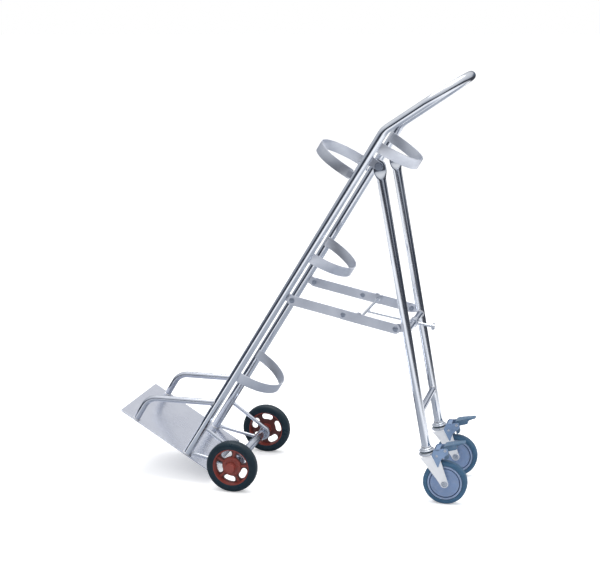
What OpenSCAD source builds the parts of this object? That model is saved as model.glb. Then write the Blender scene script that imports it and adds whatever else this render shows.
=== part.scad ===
// Stair climbing cylinder trolley: a leaning two-wheel truck with folding rear legs on braked casters.
// +X points back towards the casters, +Y to the right, +Z up, and the ground is z = 0.

/* [Upright frame] */
// Lean of the rails from vertical, degrees
lean = 31; // [29:0.5:33]
// Outside diameter of the main tubes
tube_d = 25; // [24:0.5:26]
// Wall of every tube
tube_wall = 1.5; // [1.2:0.1:2]
// Distance between the rail centrelines
rail_spacing = 262; // [258:1:266]
// Length of a rail from the toe plate to the handle bend
rail_length = 1124; // [1110:1:1130]

/* [Handle] */
// Angle between the rails and the handle arms, degrees
handle_bend = 25; // [20:1:28]
// Distance from the handle bend to the grip bar
handle_reach = 255; // [230:1:270]
// Bend radius at the grip corners
grip_corner_r = 125; // [100:1:130]

/* [Toe plate and guards] */
// Toe plate length ahead of the rails
plate_front = 235; // [230:1:240]
// Toe plate length behind the rails
plate_rear = 90; // [86:1:92]
// Toe plate thickness
plate_t = 3; // [2:0.5:4]
// Outside diameter of the guard tubes
guard_d = 19; // [16:0.5:20]
// Distance from the rails forward to the guard feet
guard_foot = 183; // [175:1:190]
// Height of the sharp guard corner above the plate
guard_corner = 82; // [78:1:86]

/* [Cylinder rings] */
// Outside radius of the rings
ring_r = 119; // [118.6:0.1:119.2]
// Height of a ring band
ring_h = 30; // [25:1:32]
// Thickness of the bands
band_t = 3; // [2:0.5:3]
// How far the front gate stands ahead of the rails
gate_reach = 151; // [146:1:155]

/* [Main wheels] */
// Radius of the main tyres
wheel_r = 75; // [74:0.5:76]
// Width of the main tyres
tyre_w = 34; // [32:1:36]
// Distance between the middles of the main tyres
wheel_track = 360; // [356:1:366]
// Distance of the main axle behind the rails
axle_back = 137; // [135:1:139]

/* [Folding legs] */
// Tilt of the open legs from vertical, degrees
leg_tilt = 10.4; // [10:0.1:11]
// Distance from the centre plane to a leg
leg_y = 117; // [116.5:0.1:117]
// Distance of the leg pivot behind the rails
leg_pivot_back = 38; // [37:0.5:39]
// Height of the leg pivot along the rails
leg_pivot_up = 1033; // [1030:1:1036]
// Outside diameter of the crossbars
crossbar_d = 19; // [17:0.5:20]

/* [Folding stays] */
// Width of a stay bar
stay_w = 28; // [24:1:28]
// Thickness of a stay bar
stay_t = 3; // [2.5:0.5:3]
// Distance of the front stay pivot behind the rails
stay_pivot_back = 28; // [27.5:0.5:29]
// Height of the front stay pivot along the rails
stay_pivot_up = 580; // [578:1:582]
// Distance of the rear stay pivot down the legs
stay_pivot_down = 449; // [447:1:450]
// Distance of the rear stay pivot ahead of the legs
stay_pivot_ahead = 27; // [27:0.5:28]

/* [Casters] */
// Radius of the caster wheels
caster_r = 62.5; // [60:0.5:63]
// Width of the caster treads
caster_w = 29; // [26:1:30]
// Distance of the caster wheel behind its swivel axis
caster_trail = 37.5; // [36:0.5:39]

/* [Hidden] */

$fn = 64;
LEFT = -1;
RIGHT = 1;
CUT = 1;              // overshoot of cutting solids
GAP = 0.4;            // side gap between plates that turn past each other
RUN = 0.05;           // radial clearance of a running fit

tube_r = tube_d / 2;
bore_r = tube_r - tube_wall;
rail_y = rail_spacing / 2;
elbow_r = 60;
elbow_cut = elbow_r * tan(handle_bend / 2);

// The upright frame's own axes: x back from the rails, z up along them, origin on the plate's underside.
foot_z = wheel_r - (wheel_r * cos(lean) - axle_back * sin(lean));

// The legs' own axes: x back, z up along the legs, origin on the pivot.
pivot_x = leg_pivot_back * cos(lean) + leg_pivot_up * sin(lean);
pivot_z = foot_z + leg_pivot_up * cos(lean) - leg_pivot_back * sin(lean);
caster_drop = (pivot_z - caster_r + caster_trail * sin(leg_tilt)) / cos(leg_tilt);
caster_x = pivot_x + caster_drop * sin(leg_tilt) + caster_trail * cos(leg_tilt);

// Ground position of the rails' foot, with the whole trolley centred on the origin.
plate_tip_x = -plate_front * cos(lean);
foot_x = -(plate_tip_x + caster_x + caster_r) / 2;

// Heights of the ring middles, given along the rails like every height of the upright frame.
low_ring_up = 290;
middle_ring_up = 711;
upper_ring_up = 1076;
gate_up = 972;
gate_r = 120.5;
gate_arc_x = gate_r - gate_reach;            // centre of the gate's round front
gate_end_x = -16;
gate_hinge = [-19, 122.5];
gate_barrel_r = 5;
gate_pin_r = 2.5;
gate_keeper_h = 20;

strut_d = 11;
strut_top_up = 103;
strut_low_up = 10;
strut_bend_d = strut_d + 0.1;                // the rod swells a little where it is bent
strut_wrap_r = tube_r + strut_bend_d / 2;
strut_start_x = tube_r - 4;

// The wheel parts are spaced out along the axle, measured from the centre plane.
axle_r = 8;
axle_tube_half = 152;
hub_in = 161;
hub_out = 196;
rim_r = 54;

paddle_t = 7;
paddle_w = 36;
lug_t = 4;
lug_y = leg_y + paddle_t / 2 + GAP;
pivot_bolt_r = 5;
crossbar_down = 464;
low_crossbar_down = 697;

stay_y = leg_y + tube_r + GAP;               // inner face of the front bars
rear_stay_y = stay_y + stay_t + GAP;
stay_bolt_r = 4;
stay_lug_r = 12;
front_lug_y = stay_y - GAP - stay_t;
rear_lug_y = stay_y - GAP - 4;
stay_start = [stay_pivot_back, stay_pivot_up];
fold_angle = lean + leg_tilt;
stay_end = [
    leg_pivot_back + stay_pivot_down * sin(fold_angle) - stay_pivot_ahead * cos(fold_angle),
    leg_pivot_up - stay_pivot_down * cos(fold_angle) - stay_pivot_ahead * sin(fold_angle)];
stay_run = norm(stay_end - stay_start);
stay_l = stay_run / 2;
stay_slope = atan2(stay_end[1] - stay_start[1], stay_end[0] - stay_start[0]);
stay_tail = 57;
tie_rod_at = 47;
tie_rod_d = 8;

// The tie rod as seen from the upper crossbar, in the legs' axes, sets the release lever's length and rise.
tie_rod_pos = stay_start + (stay_l + tie_rod_at) * [cos(stay_slope), sin(stay_slope)];
tie_rod_from_pivot = tie_rod_pos - [leg_pivot_back, leg_pivot_up];
tie_rod_x = tie_rod_from_pivot * [cos(fold_angle), sin(fold_angle)];
tie_rod_z = tie_rod_from_pivot * [-sin(fold_angle), cos(fold_angle)] + crossbar_down;
lever_d = 8;
lever_reach = norm([tie_rod_x, tie_rod_z]);
lever_rise = atan2(tie_rod_z, -tie_rod_x) - asin(((tie_rod_d + lever_d) / 2 + GAP) / lever_reach);
lever_tail = 50;

// Heights in a caster are measured along its swivel axis, from the level of the wheel centre.
race_z = 97;
race_r = 25;
stem_foot_z = race_z + 11;
king_pin_r = 5;
crown_z = 84;
fork_t = 3;
fork_in = 18;
fork_out = fork_in + fork_t;
caster_core_r = 49.5;
caster_axle_r = 6;
pedal_hinge = [56, 97];
pedal_pin_r = 3;

steel = "gainsboro";
bright = "lightgrey";
zinc = "silver";
dark = "dimgray";
rubber = [0.07, 0.09, 0.1];
hub_red = [0.48, 0.16, 0.13];
slate = [0.25, 0.38, 0.48];
blue_grey = [0.5, 0.57, 0.66];

// ---- placement ----

module upright() {
    translate([foot_x, 0, foot_z]) rotate([0, lean, 0]) children();
}

module legs() {
    translate([foot_x + pivot_x, 0, pivot_z]) rotate([0, -leg_tilt, 0]) children();
}

// Origin on the swivel axis, level with the wheel centre.
module caster(side) {
    legs() translate([0, side * leg_y, -caster_drop]) children();
}

// A flat plate of either side, drawn in x and z, whose inner face is at the given distance from the middle.
module side_plate(side, inner, thick) {
    translate([0, side > 0 ? inner + thick : -inner, 0]) rotate([90, 0, 0])
        linear_extrude(thick) children();
}

module side_rod(side, inner, length, r) {
    translate([0, side > 0 ? inner + length : -inner, 0]) rotate([90, 0, 0]) cylinder(h = length, r = r);
}

module hex_end(side, inner, height, r) {
    translate([0, side > 0 ? inner + height : -inner, 0]) rotate([90, 0, 0])
        cylinder(h = height, r = r, $fn = 6);
}

module at_xz(p) {
    translate([p[0], 0, p[1]]) children();
}

// ---- tube pieces, each followed by the next one on its end ----

module tube_section(d) {
    difference() {
        circle(d = d);
        circle(d = d - 2 * tube_wall);
    }
}

module straight(length, d = tube_d) {
    linear_extrude(length) tube_section(d);
    translate([0, 0, length]) children();
}

module bend(r, angle, d = tube_d) {
    translate([r, 0, 0]) rotate([90, 0, 0]) mirror([1, 0, 0])
        rotate_extrude(angle = angle) translate([r, 0]) tube_section(d);
    translate([r * (1 - cos(angle)), 0, r * sin(angle)]) rotate([0, angle, 0]) children();
}

module rail_solid(side) {
    translate([0, side * rail_y, 0]) cylinder(h = rail_length, d = tube_d);
}

module rail_solids() {
    rail_solid(LEFT);
    rail_solid(RIGHT);
}

// ---- upright frame ----

module rail(side) {
    color(steel) upright() translate([0, side * rail_y, plate_t])
        straight(rail_length - elbow_cut - plate_t);
}

module handle_half() {
    translate([0, -rail_y, rail_length - elbow_cut])
        bend(elbow_r, handle_bend)
            straight(handle_reach - elbow_cut - grip_corner_r)
                rotate([0, 0, 90]) bend(grip_corner_r, 90)
                    straight(rail_y - grip_corner_r);
}

module handle_tube() {
    color(steel) upright() {
        handle_half();
        mirror([0, 1, 0]) handle_half();
    }
}

module toe_plate() {
    width = rail_spacing + tube_d;
    color(steel) upright() translate([-plate_front, -width / 2, 0])
        cube([plate_front + plate_rear, width, plate_t]);
}

module guard(side) {
    turn = 90 - lean;
    corner_r = 48;
    corner_cut = corner_r * tan(turn / 2);
    run = guard_foot / sin(turn);
    color(steel) upright() difference() {
        translate([-guard_foot, side * rail_y, plate_t])
            straight(guard_corner - corner_cut - plate_t, guard_d)
                bend(corner_r, turn, guard_d)
                    straight(run - corner_cut, guard_d);
        rail_solid(side);
    }
}

module ring(up) {
    color(bright) upright() difference() {
        translate([0, 0, up - ring_h / 2]) linear_extrude(ring_h) difference() {
            intersection() {
                circle(r = ring_r, $fn = 128);
                translate([-4, -ring_r]) square([ring_r + 4, 2 * ring_r]);
            }
            circle(r = ring_r - band_t, $fn = 128);
        }
        rail_solids();
    }
}

// ---- front gate ----

module gate_shape(r) {
    translate([gate_arc_x, 0]) circle(r = r, $fn = 128);
    translate([gate_arc_x, -r]) square([gate_r, 2 * r]);
}

module gate_band() {
    color(bright) upright() difference() {
        union() {
            translate([0, 0, gate_up - ring_h / 2]) linear_extrude(ring_h) difference() {
                gate_shape(gate_r);
                gate_shape(gate_r - band_t);
                translate([gate_end_x, -2 * gate_r]) square(4 * gate_r);
            }
            translate([gate_hinge[0], gate_hinge[1], gate_up - ring_h / 2])
                cylinder(h = ring_h, r = gate_barrel_r);
        }
        translate([gate_hinge[0], gate_hinge[1], gate_up - ring_h / 2 - CUT])
            cylinder(h = ring_h + 2 * CUT, r = gate_pin_r + RUN);
    }
}

// One ear of the hinge bracket, from the pin to the rail.
module gate_ear(up) {
    reach = norm([gate_hinge[0], rail_y - gate_hinge[1]]);
    heading = atan2(rail_y - gate_hinge[1], -gate_hinge[0]);
    half_w = gate_barrel_r + 1;
    translate([gate_hinge[0], gate_hinge[1], up]) linear_extrude(band_t) difference() {
        union() {
            circle(r = half_w);
            rotate(heading) translate([0, -half_w]) square([reach, 2 * half_w]);
        }
        circle(r = gate_pin_r);
    }
}

module gate_bracket() {
    color(bright) upright() difference() {
        union() {
            gate_ear(gate_up + ring_h / 2 + GAP);
            gate_ear(gate_up - ring_h / 2 - GAP - band_t);
        }
        rail_solid(RIGHT);
    }
}

module gate_pin() {
    reach = ring_h / 2 + GAP + band_t;
    foot = 1.5;
    color(zinc) upright() translate([gate_hinge[0], gate_hinge[1], gate_up]) {
        translate([0, 0, -reach - foot]) cylinder(h = 2 * reach + foot, r = gate_pin_r);
        translate([0, 0, reach]) cylinder(h = 2.5, r = gate_barrel_r - 0.5);
    }
}

// A channel, open to the front, that takes the gate's free end.
module gate_keeper() {
    wall = 2;
    room = 1.2;
    depth = 12;
    outer = -gate_r - room - wall;
    inner = -gate_r + band_t + room;
    back = gate_end_x + room;
    front = back - depth;
    color(bright) upright() difference() {
        translate([0, 0, gate_up - gate_keeper_h / 2]) linear_extrude(gate_keeper_h) {
            translate([front, outer]) square([-front, wall]);
            translate([front, inner]) square([depth + wall, wall]);
            translate([back, outer]) square([wall, inner - outer + wall]);
        }
        rail_solid(LEFT);
    }
}

// ---- main axle and wheels ----

module on_axle() {
    upright() translate([axle_back, 0, wheel_r]) children();
}

// Direction of a strut's straight stretch, from the rail to its tangent above (1) or below (-1) the axle.
function strut_heading(up, turn) =
    let (dx = axle_back - strut_start_x, dz = wheel_r - up)
    atan2(dz, dx) + turn * asin(strut_wrap_r / norm([dx, dz]));

function strut_length(up) =
    sqrt(pow(axle_back - strut_start_x, 2) + pow(wheel_r - up, 2) - pow(strut_wrap_r, 2));

// A strut's straight stretch, trimmed to the rail's back.
module strut_stretch(side, up, turn) {
    difference() {
        translate([strut_start_x, side * rail_y, up]) rotate([0, 90 - strut_heading(up, turn), 0])
            cylinder(h = strut_length(up), d = strut_d);
        rail_solid(side);
    }
}

// One thin rod, bent around the axle tube it is welded to, with both ends on the back of a rail.
module strut(side) {
    heading = strut_heading(strut_top_up, 1);
    wrap = 180 + heading - strut_heading(strut_low_up, -1);
    color(steel) upright() {
        strut_stretch(side, strut_top_up, 1);
        strut_stretch(side, strut_low_up, -1);
        translate([axle_back, side * rail_y, wheel_r]) rotate([0, 90 - heading, 0])
            rotate([90, 0, 0]) mirror([1, 0, 0]) rotate_extrude(angle = wrap)
                translate([strut_wrap_r, 0]) circle(d = strut_bend_d);
    }
}

module axle_tube() {
    color(steel) on_axle() rotate([90, 0, 0]) difference() {
        cylinder(h = 2 * axle_tube_half, r = tube_r, center = true);
        cylinder(h = 2 * (axle_tube_half + CUT), r = axle_r, center = true);
    }
}

module axle_shaft() {
    color(zinc) on_axle() rotate([90, 0, 0]) cylinder(h = 2 * (hub_out + 6), r = axle_r, center = true);
}

// A spacer inside and a nut outside each hub.
module axle_nuts() {
    color(zinc) on_axle() difference() {
        for (side = [LEFT, RIGHT]) {
            hex_end(side, hub_out + GAP, 5, 12);
            side_rod(side, axle_tube_half, hub_in - axle_tube_half - GAP, 15);
        }
        rotate([90, 0, 0]) cylinder(h = 2 * (hub_out + 10), r = axle_r, center = true);
    }
}

// Wheel axes: z outwards along the axle from the middle of the tyre.
module wheel(side) {
    on_axle() translate([0, side * wheel_track / 2, 0]) rotate([side * -90, 0, 0]) children();
}

// A tyre section with round shoulders, its radius drawn along x.
module tyre_section(r_in, r_out, width, shoulder) {
    half = width / 2;
    bead = 2;
    arc = [0 : 15 : 90];
    round_r = r_out - shoulder;
    polygon(concat(
        [[r_in, -half + bead]],
        [for (a = arc) [round_r + shoulder * sin(a), -half + shoulder * (1 - cos(a))]],
        [for (a = arc) [round_r + shoulder * cos(a), half - shoulder * (1 - sin(a))]],
        [[r_in, half - bead]]));
}

module tyre(side) {
    color(rubber) wheel(side) rotate_extrude() tyre_section(rim_r, wheel_r, tyre_w, 11);
}

// A kidney-shaped opening in the hub's web.
module hub_slot(half_w, mid_r, half_angle) {
    for (end = [-half_angle, half_angle]) rotate(end) translate([mid_r, 0]) circle(r = half_w);
    intersection() {
        difference() {
            circle(r = mid_r + half_w);
            circle(r = mid_r - half_w);
        }
        polygon([[0, 0], 2 * mid_r * [cos(half_angle), -sin(half_angle)],
            2 * mid_r * [cos(half_angle), sin(half_angle)]]);
    }
}

module hub(side) {
    inner = hub_in - wheel_track / 2;
    outer = hub_out - wheel_track / 2;
    rim_half = 14;
    rim_t = 5;
    web_half = 3;
    slots = 5;
    color(hub_red) wheel(side) difference() {
        union() {
            translate([0, 0, inner]) cylinder(h = outer - inner, r = 15);
            difference() {
                cylinder(h = 2 * rim_half, r = rim_r, center = true);
                cylinder(h = 2 * rim_half + CUT, r = rim_r - rim_t, center = true);
            }
            cylinder(h = 2 * web_half, r = rim_r - rim_t / 2, center = true);
            cylinder(h = 8, r1 = 29, r2 = 26);
        }
        translate([0, 0, inner - CUT]) cylinder(h = outer - inner + 2 * CUT, r = axle_r + RUN);
        for (i = [1 : slots])
            rotate(i * 360 / slots) linear_extrude(4 * rim_half, center = true) hub_slot(7, 38, 9);
    }
}

module hub_cap(side) {
    height = 9.5;
    wall = 1.5;
    color(hub_red) wheel(side) translate([0, 0, hub_out - wheel_track / 2]) difference() {
        cylinder(h = height, r1 = 15, r2 = 14);
        translate([0, 0, -CUT]) cylinder(h = height - wall + CUT, r = 12.5);
    }
}

// ---- folding legs ----

module leg_lug(side) {
    tip_r = 11;
    root_half = 14;
    color(steel) upright() difference() {
        translate([0, 0, leg_pivot_up]) side_plate(side, lug_y, lug_t) difference() {
            union() {
                polygon([[0, -root_half], [0, root_half], [leg_pivot_back + 4, tip_r - 1],
                    [leg_pivot_back + 4, 1 - tip_r]]);
                translate([leg_pivot_back, 0]) circle(r = tip_r);
            }
            translate([leg_pivot_back, 0]) circle(r = pivot_bolt_r);
        }
        rail_solid(side);
    }
}

module leg_pivot_bolts() {
    head_r = 9.2;
    nut_h = 8;
    inner = leg_y - paddle_t / 2 - GAP;
    outer = lug_y + lug_t;
    color(dark) upright() at_xz([leg_pivot_back, leg_pivot_up]) for (side = [LEFT, RIGHT]) {
        side_rod(side, inner - nut_h, outer - inner + nut_h, pivot_bolt_r);
        hex_end(side, inner - nut_h, nut_h, head_r);
        hex_end(side, outer, 6, head_r);
    }
}

// A leg tube with its top pressed flat around the pivot.
module leg(side) {
    round_z = -36;
    flat_z = -12;
    slice = 0.5;
    foot = stem_foot_z - caster_drop;
    color(steel) legs() translate([0, side * leg_y, 0]) difference() {
        union() {
            translate([0, 0, foot]) straight(round_z - foot);
            hull() {
                translate([0, 0, round_z]) cylinder(h = slice, r = tube_r, $fn = 32);
                translate([-paddle_w / 2, -paddle_t / 2, flat_z]) cube([paddle_w, paddle_t, slice]);
            }
            translate([-paddle_w / 2, -paddle_t / 2, flat_z]) cube([paddle_w, paddle_t, -flat_z]);
            rotate([90, 0, 0]) cylinder(h = paddle_t, r = paddle_w / 2, center = true);
        }
        rotate([90, 0, 0]) cylinder(h = paddle_t + 2 * CUT, r = pivot_bolt_r + RUN, center = true);
    }
}

// Tubes as long as the legs, to trim what is welded to them.
module leg_solids() {
    for (side = [LEFT, RIGHT]) translate([0, side * leg_y, -caster_drop]) cylinder(h = caster_drop, r = tube_r);
}

module crossbar(down) {
    color(steel) legs() difference() {
        translate([0, 0, -down]) rotate([90, 0, 0]) linear_extrude(2 * leg_y, center = true)
            tube_section(crossbar_d);
        leg_solids();
    }
}

module rear_lug(side) {
    color(steel) legs() difference() {
        translate([0, 0, -stay_pivot_down]) side_plate(side, rear_lug_y, stay_y - GAP - rear_lug_y)
            difference() {
                union() {
                    translate([-stay_pivot_ahead, 0]) circle(r = stay_lug_r);
                    translate([-stay_pivot_ahead, -stay_lug_r]) square([stay_pivot_ahead, 2 * stay_lug_r]);
                }
                translate([-stay_pivot_ahead, 0]) circle(r = stay_bolt_r);
            }
        leg_solids();
    }
}

// A bolt through a lug and a stay bar, with its nut inside and its head outside.
module stay_bolt(side, lug_in, bar_y) {
    nut_h = 5;
    head_r = 7.5;
    head_in = bar_y + stay_t + GAP / 2;
    side_rod(side, lug_in - nut_h, head_in + CUT - lug_in + nut_h, stay_bolt_r);
    hex_end(side, lug_in - nut_h, nut_h, head_r);
    side_rod(side, head_in, 4, head_r);
}

// The rear bolts carry a shoulder across the plane of the front bars.
module rear_stay_bolts() {
    shoulder_in = stay_y - GAP;
    color(dark) legs() at_xz([-stay_pivot_ahead, -stay_pivot_down]) for (side = [LEFT, RIGHT]) {
        stay_bolt(side, rear_lug_y, rear_stay_y);
        side_rod(side, shoulder_in, rear_stay_y - GAP / 2 - shoulder_in, 7);
    }
}

// ---- folding stays ----

module stay_lug(side) {
    color(steel) upright() difference() {
        translate([0, 0, stay_pivot_up]) side_plate(side, front_lug_y, stay_t) difference() {
            union() {
                translate([stay_pivot_back, 0]) circle(r = stay_lug_r);
                translate([0, -stay_lug_r]) square([stay_pivot_back, 2 * stay_lug_r]);
            }
            translate([stay_pivot_back, 0]) circle(r = stay_bolt_r);
        }
        rail_solid(side);
    }
}

module front_stay_bolts() {
    color(dark) upright() at_xz(stay_start) for (side = [LEFT, RIGHT]) stay_bolt(side, front_lug_y, stay_y);
}

// Stay axes: x along the straightened stays from the front pivot, z across them.
module on_stays() {
    upright() at_xz(stay_start) rotate([0, -stay_slope, 0]) children();
}

// The front bar runs on past the rivet, and the tab on its tail lies over the rear bar.
module front_stay(side) {
    tab_at = stay_l + 38;
    tab_l = 10;
    tab_t = 3;
    rivet_r = 7;
    rivet_h = 2.5;
    color(bright) on_stays() {
        side_plate(side, stay_y, stay_t) difference() {
            union() {
                circle(d = stay_w);
                translate([0, -stay_w / 2]) square([stay_l + stay_tail, stay_w]);
                translate([tab_at, 0]) square([tab_l, stay_w / 2 + GAP + tab_t]);
            }
            circle(r = stay_bolt_r + RUN);
            translate([stay_l + tie_rod_at, 0]) circle(d = tie_rod_d);
        }
        side_plate(side, stay_y, 2 * stay_t + GAP) translate([tab_at, stay_w / 2 + GAP]) square([tab_l, tab_t]);
        translate([stay_l, 0, 0]) side_rod(side, stay_y - rivet_h, rivet_h + CUT, rivet_r);
    }
}

module stay_tie_rod() {
    color(bright) on_stays() translate([stay_l + tie_rod_at, 0, 0]) rotate([90, 0, 0])
        cylinder(h = 2 * (stay_y + stay_t), d = tie_rod_d, center = true);
}

module rear_stay(side) {
    color(bright) on_stays() side_plate(side, rear_stay_y, stay_t) difference() {
        union() {
            for (end = [stay_l, stay_run]) translate([end, 0]) circle(d = stay_w);
            translate([stay_l, -stay_w / 2]) square([stay_l, stay_w]);
        }
        translate([stay_l, 0]) circle(r = stay_bolt_r);
        translate([stay_run, 0]) circle(r = stay_bolt_r + RUN);
    }
}

module stay_rivets() {
    color(zinc) on_stays() translate([stay_l, 0, 0]) for (side = [LEFT, RIGHT]) {
        side_rod(side, rear_stay_y, stay_t + CUT, stay_bolt_r);
        side_rod(side, rear_stay_y + stay_t, 2.5, 7);
    }
}

// ---- release lever ----

// Lever axes: z from the upper crossbar towards the tie rod.
module on_lever() {
    legs() translate([0, 0, -crossbar_down]) rotate([0, lever_rise - 90, 0]) children();
}

// A rod that turns on the crossbar, reaches under the tie rod and lifts it when its tail is pressed.
module release_lever() {
    sleeve_w = 24;
    sleeve_r = crossbar_d / 2 + 3.5;
    overreach = 9;
    color(zinc) on_lever() difference() {
        union() {
            translate([0, 0, -lever_tail]) cylinder(h = lever_tail + lever_reach + overreach, d = lever_d);
            rotate([90, 0, 0]) cylinder(h = sleeve_w, r = sleeve_r, center = true);
        }
        rotate([90, 0, 0]) cylinder(h = sleeve_w + 2 * CUT, r = crossbar_d / 2 + RUN, center = true);
    }
}

module lever_knob() {
    knob_h = 12;
    knob_r = 11;
    color(zinc) on_lever() translate([0, 0, -lever_tail - knob_h]) cylinder(h = knob_h, r = knob_r);
}

// ---- casters ----

// Upper race, king pin and the stem in the leg.
module caster_stem(side) {
    pin_foot = crown_z - 4;
    stem_top = stem_foot_z + 42;
    color(zinc) caster(side) rotate_extrude() polygon([
        [0, pin_foot], [8, pin_foot], [8, crown_z - GAP], [king_pin_r, crown_z - GAP],
        [king_pin_r, race_z + GAP], [race_r - 2, race_z + GAP], [race_r - 2, race_z + 4],
        [tube_r + 1, stem_foot_z], [bore_r, stem_foot_z], [bore_r, stem_top], [0, stem_top]]);
}

module caster_fork(side) {
    crown_l = 36;
    tip_r = 11;
    color(zinc) caster(side) difference() {
        union() {
            translate([0, 0, crown_z]) linear_extrude(fork_t) {
                circle(r = fork_out);
                translate([0, -fork_out]) square([crown_l, 2 * fork_out]);
            }
            rotate_extrude() polygon([[0, crown_z + fork_t], [race_r, crown_z + fork_t],
                [race_r, race_z - 4], [race_r - 4, race_z], [0, race_z]]);
            for (cheek = [LEFT, RIGHT]) side_plate(cheek, fork_in, fork_t) {
                polygon([[2 - fork_out, crown_z + fork_t], [crown_l, crown_z + fork_t],
                    [caster_trail + tip_r, 3], [caster_trail - tip_r + 1.5, -5]]);
                translate([caster_trail, 0]) circle(r = tip_r);
            }
        }
        translate([0, 0, crown_z - CUT]) cylinder(h = race_z, r = king_pin_r + RUN);
        translate([caster_trail, 0, 0]) rotate([90, 0, 0])
            cylinder(h = 4 * fork_out, r = caster_axle_r, center = true);
    }
}

module caster_axle(side) {
    color(zinc) caster(side) translate([caster_trail, 0, 0]) {
        rotate([90, 0, 0]) cylinder(h = 2 * fork_out, r = caster_axle_r, center = true);
        side_rod(side, fork_out, 3.5, 9);
        hex_end(-side, fork_out, 5, 9);
    }
}

module caster_core(side) {
    boss_half = fork_in - 1;
    color(blue_grey) caster(side) translate([caster_trail, 0, 0]) rotate([90, 0, 0]) rotate_extrude()
        polygon([
            [caster_axle_r + RUN, -boss_half], [14, -boss_half], [16, -10], [36, -10], [38, -12.5],
            [caster_core_r, -12.5], [caster_core_r, 12.5], [38, 12.5], [36, 10], [16, 10],
            [14, boss_half], [caster_axle_r + RUN, boss_half]]);
}

module caster_tread(side) {
    color(slate) caster(side) translate([caster_trail, 0, 0]) rotate([90, 0, 0]) rotate_extrude()
        tyre_section(caster_core_r, caster_r, caster_w, 8);
}

// A bracket over the fork that holds the pedal's pin.
module caster_brake(side) {
    cheek_t = 3;
    bridge_t = 3;
    bridge_z = race_z + 2.5;
    outer = fork_out + cheek_t;
    color(blue_grey) caster(side) {
        for (cheek = [LEFT, RIGHT]) side_plate(cheek, fork_out, cheek_t)
            polygon([[16, 88], [28, 50], [40, 72], [64, 88], [64, 103], [28, bridge_z + bridge_t]]);
        translate([28, -outer, bridge_z]) cube([13, 2 * outer, bridge_t]);
        at_xz(pedal_hinge) rotate([90, 0, 0]) cylinder(h = 2 * outer, r = pedal_pin_r, center = true);
    }
}

// The pedal's hub, tread plate and step, and the finger that presses on the wheel.
module brake_pedal(side) {
    width = 2 * fork_out - 4;
    finger_w = 22;
    tip_w = 24;
    color(slate) caster(side) difference() {
        union() {
            rotate([90, 0, 0]) linear_extrude(width, center = true) {
                translate(pedal_hinge) circle(r = 6.5);
                polygon([[50, 100], [52, 106], [56, 109], [88, 110], [90, 98], [86, 95.5], [62, 93]]);
            }
            intersection() {
                rotate([90, 0, 0]) linear_extrude(width, center = true)
                    polygon([[62, 105], [62, 110], [110, 112.5], [113, 110], [111, 107.5], [74, 105]]);
                linear_extrude(2 * race_z) polygon([[60, -width / 2], [76, -width / 2], [114, -tip_w / 2],
                    [114, tip_w / 2], [76, width / 2], [60, width / 2]]);
            }
            rotate([90, 0, 0]) linear_extrude(finger_w, center = true)
                polygon([[47, 95], [59, 93], [60, 70], [50, 66]]);
        }
        at_xz(pedal_hinge) rotate([90, 0, 0])
            cylinder(h = width + 2 * CUT, r = pedal_pin_r + RUN, center = true);
    }
}

rail(LEFT);  // rail_left
rail(RIGHT);  // rail_right
handle_tube();
toe_plate();
guard(LEFT);  // guard_left
guard(RIGHT);  // guard_right
ring(low_ring_up);  // lower_ring
ring(middle_ring_up);  // middle_ring
ring(upper_ring_up);  // upper_ring
gate_bracket();
gate_pin();
gate_band();
gate_keeper();
strut(LEFT);  // strut_left
strut(RIGHT);  // strut_right
axle_tube();
axle_shaft();
axle_nuts();
tyre(LEFT);  // tyre_left
tyre(RIGHT);  // tyre_right
hub(LEFT);  // hub_left
hub(RIGHT);  // hub_right
hub_cap(LEFT);  // hub_cap_left
hub_cap(RIGHT);  // hub_cap_right
leg_lug(LEFT);  // leg_lug_left
leg_lug(RIGHT);  // leg_lug_right
leg_pivot_bolts();
stay_lug(LEFT);  // stay_lug_left
stay_lug(RIGHT);  // stay_lug_right
front_stay_bolts();
front_stay(LEFT);  // front_stay_left
front_stay(RIGHT);  // front_stay_right
stay_tie_rod();
rear_stay(LEFT);  // rear_stay_left
rear_stay(RIGHT);  // rear_stay_right
stay_rivets();
leg(LEFT);  // leg_left
leg(RIGHT);  // leg_right
crossbar(crossbar_down);  // upper_crossbar
crossbar(low_crossbar_down);  // lower_crossbar
rear_lug(LEFT);  // rear_lug_left
rear_lug(RIGHT);  // rear_lug_right
rear_stay_bolts();
release_lever();
lever_knob();
caster_stem(LEFT);  // caster_stem_left
caster_stem(RIGHT);  // caster_stem_right
caster_fork(LEFT);  // caster_fork_left
caster_fork(RIGHT);  // caster_fork_right
caster_brake(LEFT);  // caster_brake_left
caster_brake(RIGHT);  // caster_brake_right
brake_pedal(LEFT);  // brake_pedal_left
brake_pedal(RIGHT);  // brake_pedal_right
caster_axle(LEFT);  // caster_axle_left
caster_axle(RIGHT);  // caster_axle_right
caster_core(LEFT);  // caster_core_left
caster_core(RIGHT);  // caster_core_right
caster_tread(LEFT);  // caster_tread_left
caster_tread(RIGHT);  // caster_tread_right
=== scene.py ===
import math

import bmesh
import bpy
from mathutils import Matrix, Vector


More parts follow.
